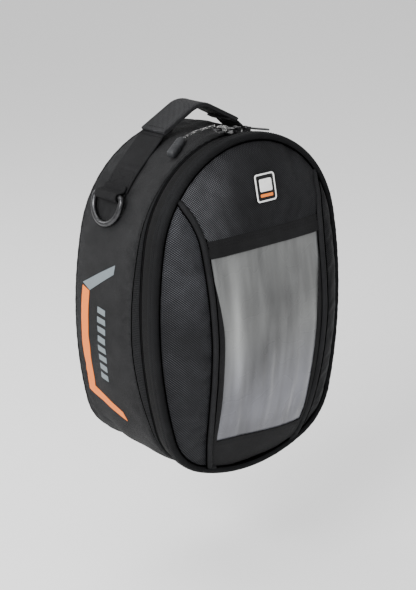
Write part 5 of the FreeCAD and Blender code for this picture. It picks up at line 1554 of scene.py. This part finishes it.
sec = sec / np.maximum(np.abs(sec[:, :1]) ** 3 + np.abs(sec[:, 1:]) ** 3, 1e-9) ** (1 / 3.0)
P = pp[:, None] + rr[:, None, None] * (u1[None, None] * sec[None, :, :1] * 0.98 + u2[None, None] * sec[None, :, 1:] * 0.86)
rub = sweep_obj("cord_end_moulding", P, np.arange(len(pp) + 1.0), np.linspace(0, 26, kk + 1), mat=M["rubber"], body="pull_left",
                slot="cord_rubber", repl=["pull_cord_end"])

# ---------------------------------------------------------------- the tank side
# anti-slip panel: a soft slab with a turned edge and four faint magnet rounds
na, nr = 300, 26
ang = theta(np.linspace(-HALF, HALF, na, endpoint=False))
bx_, bz_ = ring_xz("gus", 2.9, ang, 0.2)
cx0, cz0 = 0.0, 150.0
t = 1 - (1 - np.linspace(0.02, 1, nr)) ** 1.4
X = cx0 + (bx_ - cx0)[:, None] * t[None]
Z = cz0 + (bz_ - cz0)[:, None] * t[None]


def magnet_bump(X, Z):
    h = 0 * X
    for mx, mz in ((55, 75), (-55, 75), (52, 225), (-52, 225)):
        r = np.hypot(X - mx, Z - mz)
        h = h + 0.5 * (1 - smooth(16.5, 20.5, r)) - 0.35 * np.exp(-((r - 22.5) / 1.1) ** 2)
    return h


edge = (bx_ - cx0) ** 2 + (bz_ - cz0) ** 2
dist = np.sqrt(edge)[:, None] * (1 - t[None])
Yb = depth(Z) - 0.25 + magnet_bump(X, Z) * 0.8 + 0.35 * smooth(6, 40, dist) * noise(X / 40.0, Z / 40.0, 61)
Yb = Yb - 0.5 * np.exp(-((dist - 7.0) / 0.9) ** 2) - 1.2 * (1 - smooth(0, 3.0, dist)) + 0.4 * smooth(8, 22, dist)
Yb = np.minimum(Yb, depth(Z) + 1.2)
P = np.stack([X, Yb + SHIFT, Z], -1)
N = normals(P, True)
if N[..., 1].mean() < 0:
    N = -N
U = np.concatenate([X, X[:1]], 0)
V = np.concatenate([Z, Z[:1]], 0)


def disc_obj(name, P, N, thick, **kw):
    """A closed pad made from rings round a middle: P (angle, radius, 3), inner ring first."""
    na, nr = P.shape[:2]
    Q = P - N * thick
    n = na * nr
    F1, C1 = grid_faces(na, nr, True, False)
    F2, C2 = grid_faces(na, nr, True, False, off=n, flip=True)
    faces = [list(f) for f in F1] + [list(f) for f in F2]
    for i in range(na):
        a, b = i * nr + nr - 1, ((i + 1) % na) * nr + nr - 1
        faces.append([a, b, b + n, a + n][::-1])
    c1, c2 = 2 * n, 2 * n + 1
    for i in range(na):
        faces.append([c1, i * nr, ((i + 1) % na) * nr])
        faces.append([c2, n + ((i + 1) % na) * nr, n + i * nr])
    verts = np.concatenate([P.reshape(-1, 3), Q.reshape(-1, 3), [P[:, 0].mean(0)], [Q[:, 0].mean(0)]])
    uv = np.concatenate([[[verts[i][0], verts[i][2]] for i in f] for f in faces])
    return make_obj(name, verts, faces, uv, **kw)


basep = disc_obj("tank_side_panel", P, N, 1.9, mat=M["base"], body="shell", slot="base_rubber", repl=["base_panel"])

# inner face of the base: lining over the board
bx_, bz_ = ring_xz("gus", 6.2, ang, 0.2)
X = (bx_)[:, None] * t[None]
Z = cz0 + (bz_ - cz0)[:, None] * t[None]
Yi = depth(Z) - 11.4 + 0.25 * noise(X / 22.0, Z / 22.0, 63)
P = np.stack([X, Yi + SHIFT, Z], -1)
N = normals(P, True)
if N[..., 1].mean() > 0:
    N = -N
baselin = disc_obj("base_lining_cloth", P, N, 0.5, mat=M["lining"], body="shell", slot="lining", repl=["base_lining"])

# ---------------------------------------------------------------- stitching
ss = np.linspace(-HALF + 1, HALF - 1, 900)
for off, ln in ((2.3, 2.2),):
    P, n_ = wall_point(ss, seam_y(ss) + off, 0.0)
    stitch_row(shell_thread, P, n_, 3.2, 2.2, 0.26, lift=0.02)
x_, z_ = ring_xz("gus", 5.2, theta(ss), 0.2)
shell_thread.obj("wall_stitching", mat=M["thread_dark"], body="shell", slot="wall_fabric")

x_, z_ = ring_xz("rim", 0.1, theta(ss), 0.5)
n_ = np.stack([np.sin(theta(ss)), 0 * ss, np.cos(theta(ss))], 1)
stitch_row(lid_thread, np.stack([x_, 4.1 + SHIFT + 0 * ss, z_], 1), n_, 3.0, 2.1, 0.26)
sl = np.linspace(-HINGE_S + 3, HINGE_S - 3, 900)
x_, z_ = ring_xz("gus", 0.18, theta(sl), 0.5)
n_ = np.stack([np.sin(theta(sl)), 0 * sl, np.cos(theta(sl))], 1)
stitch_row(lid_thread, np.stack([x_, 10.6 + SHIFT + 0 * sl, z_], 1), n_, 2.8, 2.0, 0.24)
for zz in (219.3, 221.9):
    hw = float(seam_half(np.array([zz]))[0]) - 4.5
    xx = np.linspace(-hw, hw, 60)
    zz_ = np.full(60, zz)
    hh = front(xx, zz_) + 0.42
    stitch_row(lid_thread, np.stack([xx, SHIFT - hh, zz_], 1), (0, -1, 0), 3.0, 2.2, 0.25)
for zz in (29.4,):
    hw = float(seam_half(np.array([zz]))[0]) - 4.5
    xx = np.linspace(-hw, hw, 60)
    zz_ = zz + skew(xx) * float(smooth(16, 33, zz))
    hh = front(xx, zz_) + 0.6
    stitch_row(lid_thread, np.stack([xx, SHIFT - hh, zz_], 1), (0, -1, 0), 3.0, 2.2, 0.25)
lid_thread.obj("lid_stitching", mat=M["thread_dark"], body="lid", slot="wall_fabric")

# ---------------------------------------------------------------- painted shadow: near-black tubes deep in the seams


# a near-black tube of painted shadow laid along a seam
def seam_shadow_line(name, kind, inset, y, radius, body, s_lim=None):
    ss_ = S if s_lim is None else np.linspace(-s_lim, s_lim, 480)
    x, z = ring_xz(kind, inset, theta(ss_), 0.2)
    yy = y(ss_) if callable(y) else y + 0 * ss_
    pts = np.stack([x, yy + SHIFT, z], 1)
    up = np.stack([np.sin(theta(ss_)), 0 * ss_, np.cos(theta(ss_))], 1)
    tube_obj(name, pts, radius, up=up, k=7, wrap=s_lim is None, mat=M["fold"], body=body, slot="coarse_fabric")


seam_shadow_line("wall_seam_fold", "gus", 1.05, lambda q: seam_y(q) + 0.1, 0.75, "shell")
seam_shadow_line("facing_fold", "gus", 1.0, 23.35, 0.6, "shell", HINGE_S - 1)
seam_shadow_line("rim_rear_fold", "gus", 0.25, 8.75, 0.55, "lid")
seam_shadow_line("rim_front_fold", "rim", 6.45, -0.35, 0.8, "lid")

# ---------------------------------------------------------------- finishes of the CAD parts that stay
KEEP = {"base_foam": "foam", "base_magnets": "magnet", "base_board": "board", "dring_left": "gun", "dring_right": "gun",
        "slider_left": "gun", "slider_right": "gun", "pull_tab_left": "gun", "pull_tab_right": "gun"}
for node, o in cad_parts.items():
    if o.hide_render:
        continue
    o.data.materials.clear()
    o.data.materials.append(M[KEEP.get(node, "wall")])

# ---------------------------------------------------------------- floor, light, camera
scene = bpy.context.scene
me = bpy.data.meshes.new("floor")
me.from_pydata([(-30, -30, 0), (30, -30, 0), (30, 30, 0), (-30, 30, 0)], [], [(0, 1, 2, 3)])
floor = bpy.data.objects.new("floor", me)
scene.collection.objects.link(floor)
fn = Nodes("floor_paper")
fn.finish((0.93, 0.93, 0.93), 0.7, None, Specular_IOR_Level=0.2)
me.materials.append(fn.mat)
floor.location.z = -0.135          # below the lowest point that the open lid reaches

world = bpy.data.worlds.new("studio")
scene.world = world
world.use_nodes = True
bg = world.node_tree.nodes["Background"]
bg.inputs["Color"].default_value = (1.0, 1.0, 1.0, 1.0)
bg.inputs["Strength"].default_value = 1.0


def area(name, loc, target, size, energy, size_y=None):
    d = bpy.data.lights.new(name, "AREA")
    d.energy = energy
    d.size = size
    if size_y:
        d.shape = "RECTANGLE"
        d.size_y = size_y
    o = bpy.data.objects.new(name, d)
    o.location = loc
    o.rotation_euler = (Vector(target) - Vector(loc)).to_track_quat("-Z", "Y").to_euler()
    scene.collection.objects.link(o)
    return o


area("key", (-1.5, -0.5, 1.0), (0, 0, 0.16), 0.8, 42.0)
area("top", (-0.5, 0.1, 1.6), (0, 0, 0.2), 1.0, 12.0)
area("fill", (1.2, -1.3, 0.7), (0, 0, 0.16), 0.9, 3.0)
area("rim_light", (-0.6, 1.3, 0.9), (0, 0, 0.2), 0.7, 9.0)

cam = bpy.data.cameras.new("camera")
cam.lens = 85.5
cam.sensor_width = 36.0
cam.sensor_fit = "AUTO"
co = bpy.data.objects.new("camera", cam)
scene.collection.objects.link(co)
th_, el_, roll = math.radians(39.064), math.radians(18.798), math.radians(-1.567)
back = Vector((-math.sin(th_) * math.cos(el_), -math.cos(th_) * math.cos(el_), math.sin(el_)))
right = Vector((math.cos(th_), -math.sin(th_), 0))
upc = back.cross(right)
r2 = right * math.cos(roll) + upc * math.sin(roll)
u2 = -right * math.sin(roll) + upc * math.cos(roll)
loc = Vector((-0.7494, -0.9159, 0.5504))
from mathutils import Matrix
co.matrix_world = Matrix(((r2.x, u2.x, back.x, loc.x), (r2.y, u2.y, back.y, loc.y), (r2.z, u2.z, back.z, loc.z), (0, 0, 0, 1)))
cam.clip_start, cam.clip_end = 0.05, 100
scene.camera = co

bpy.context.view_layer.update()
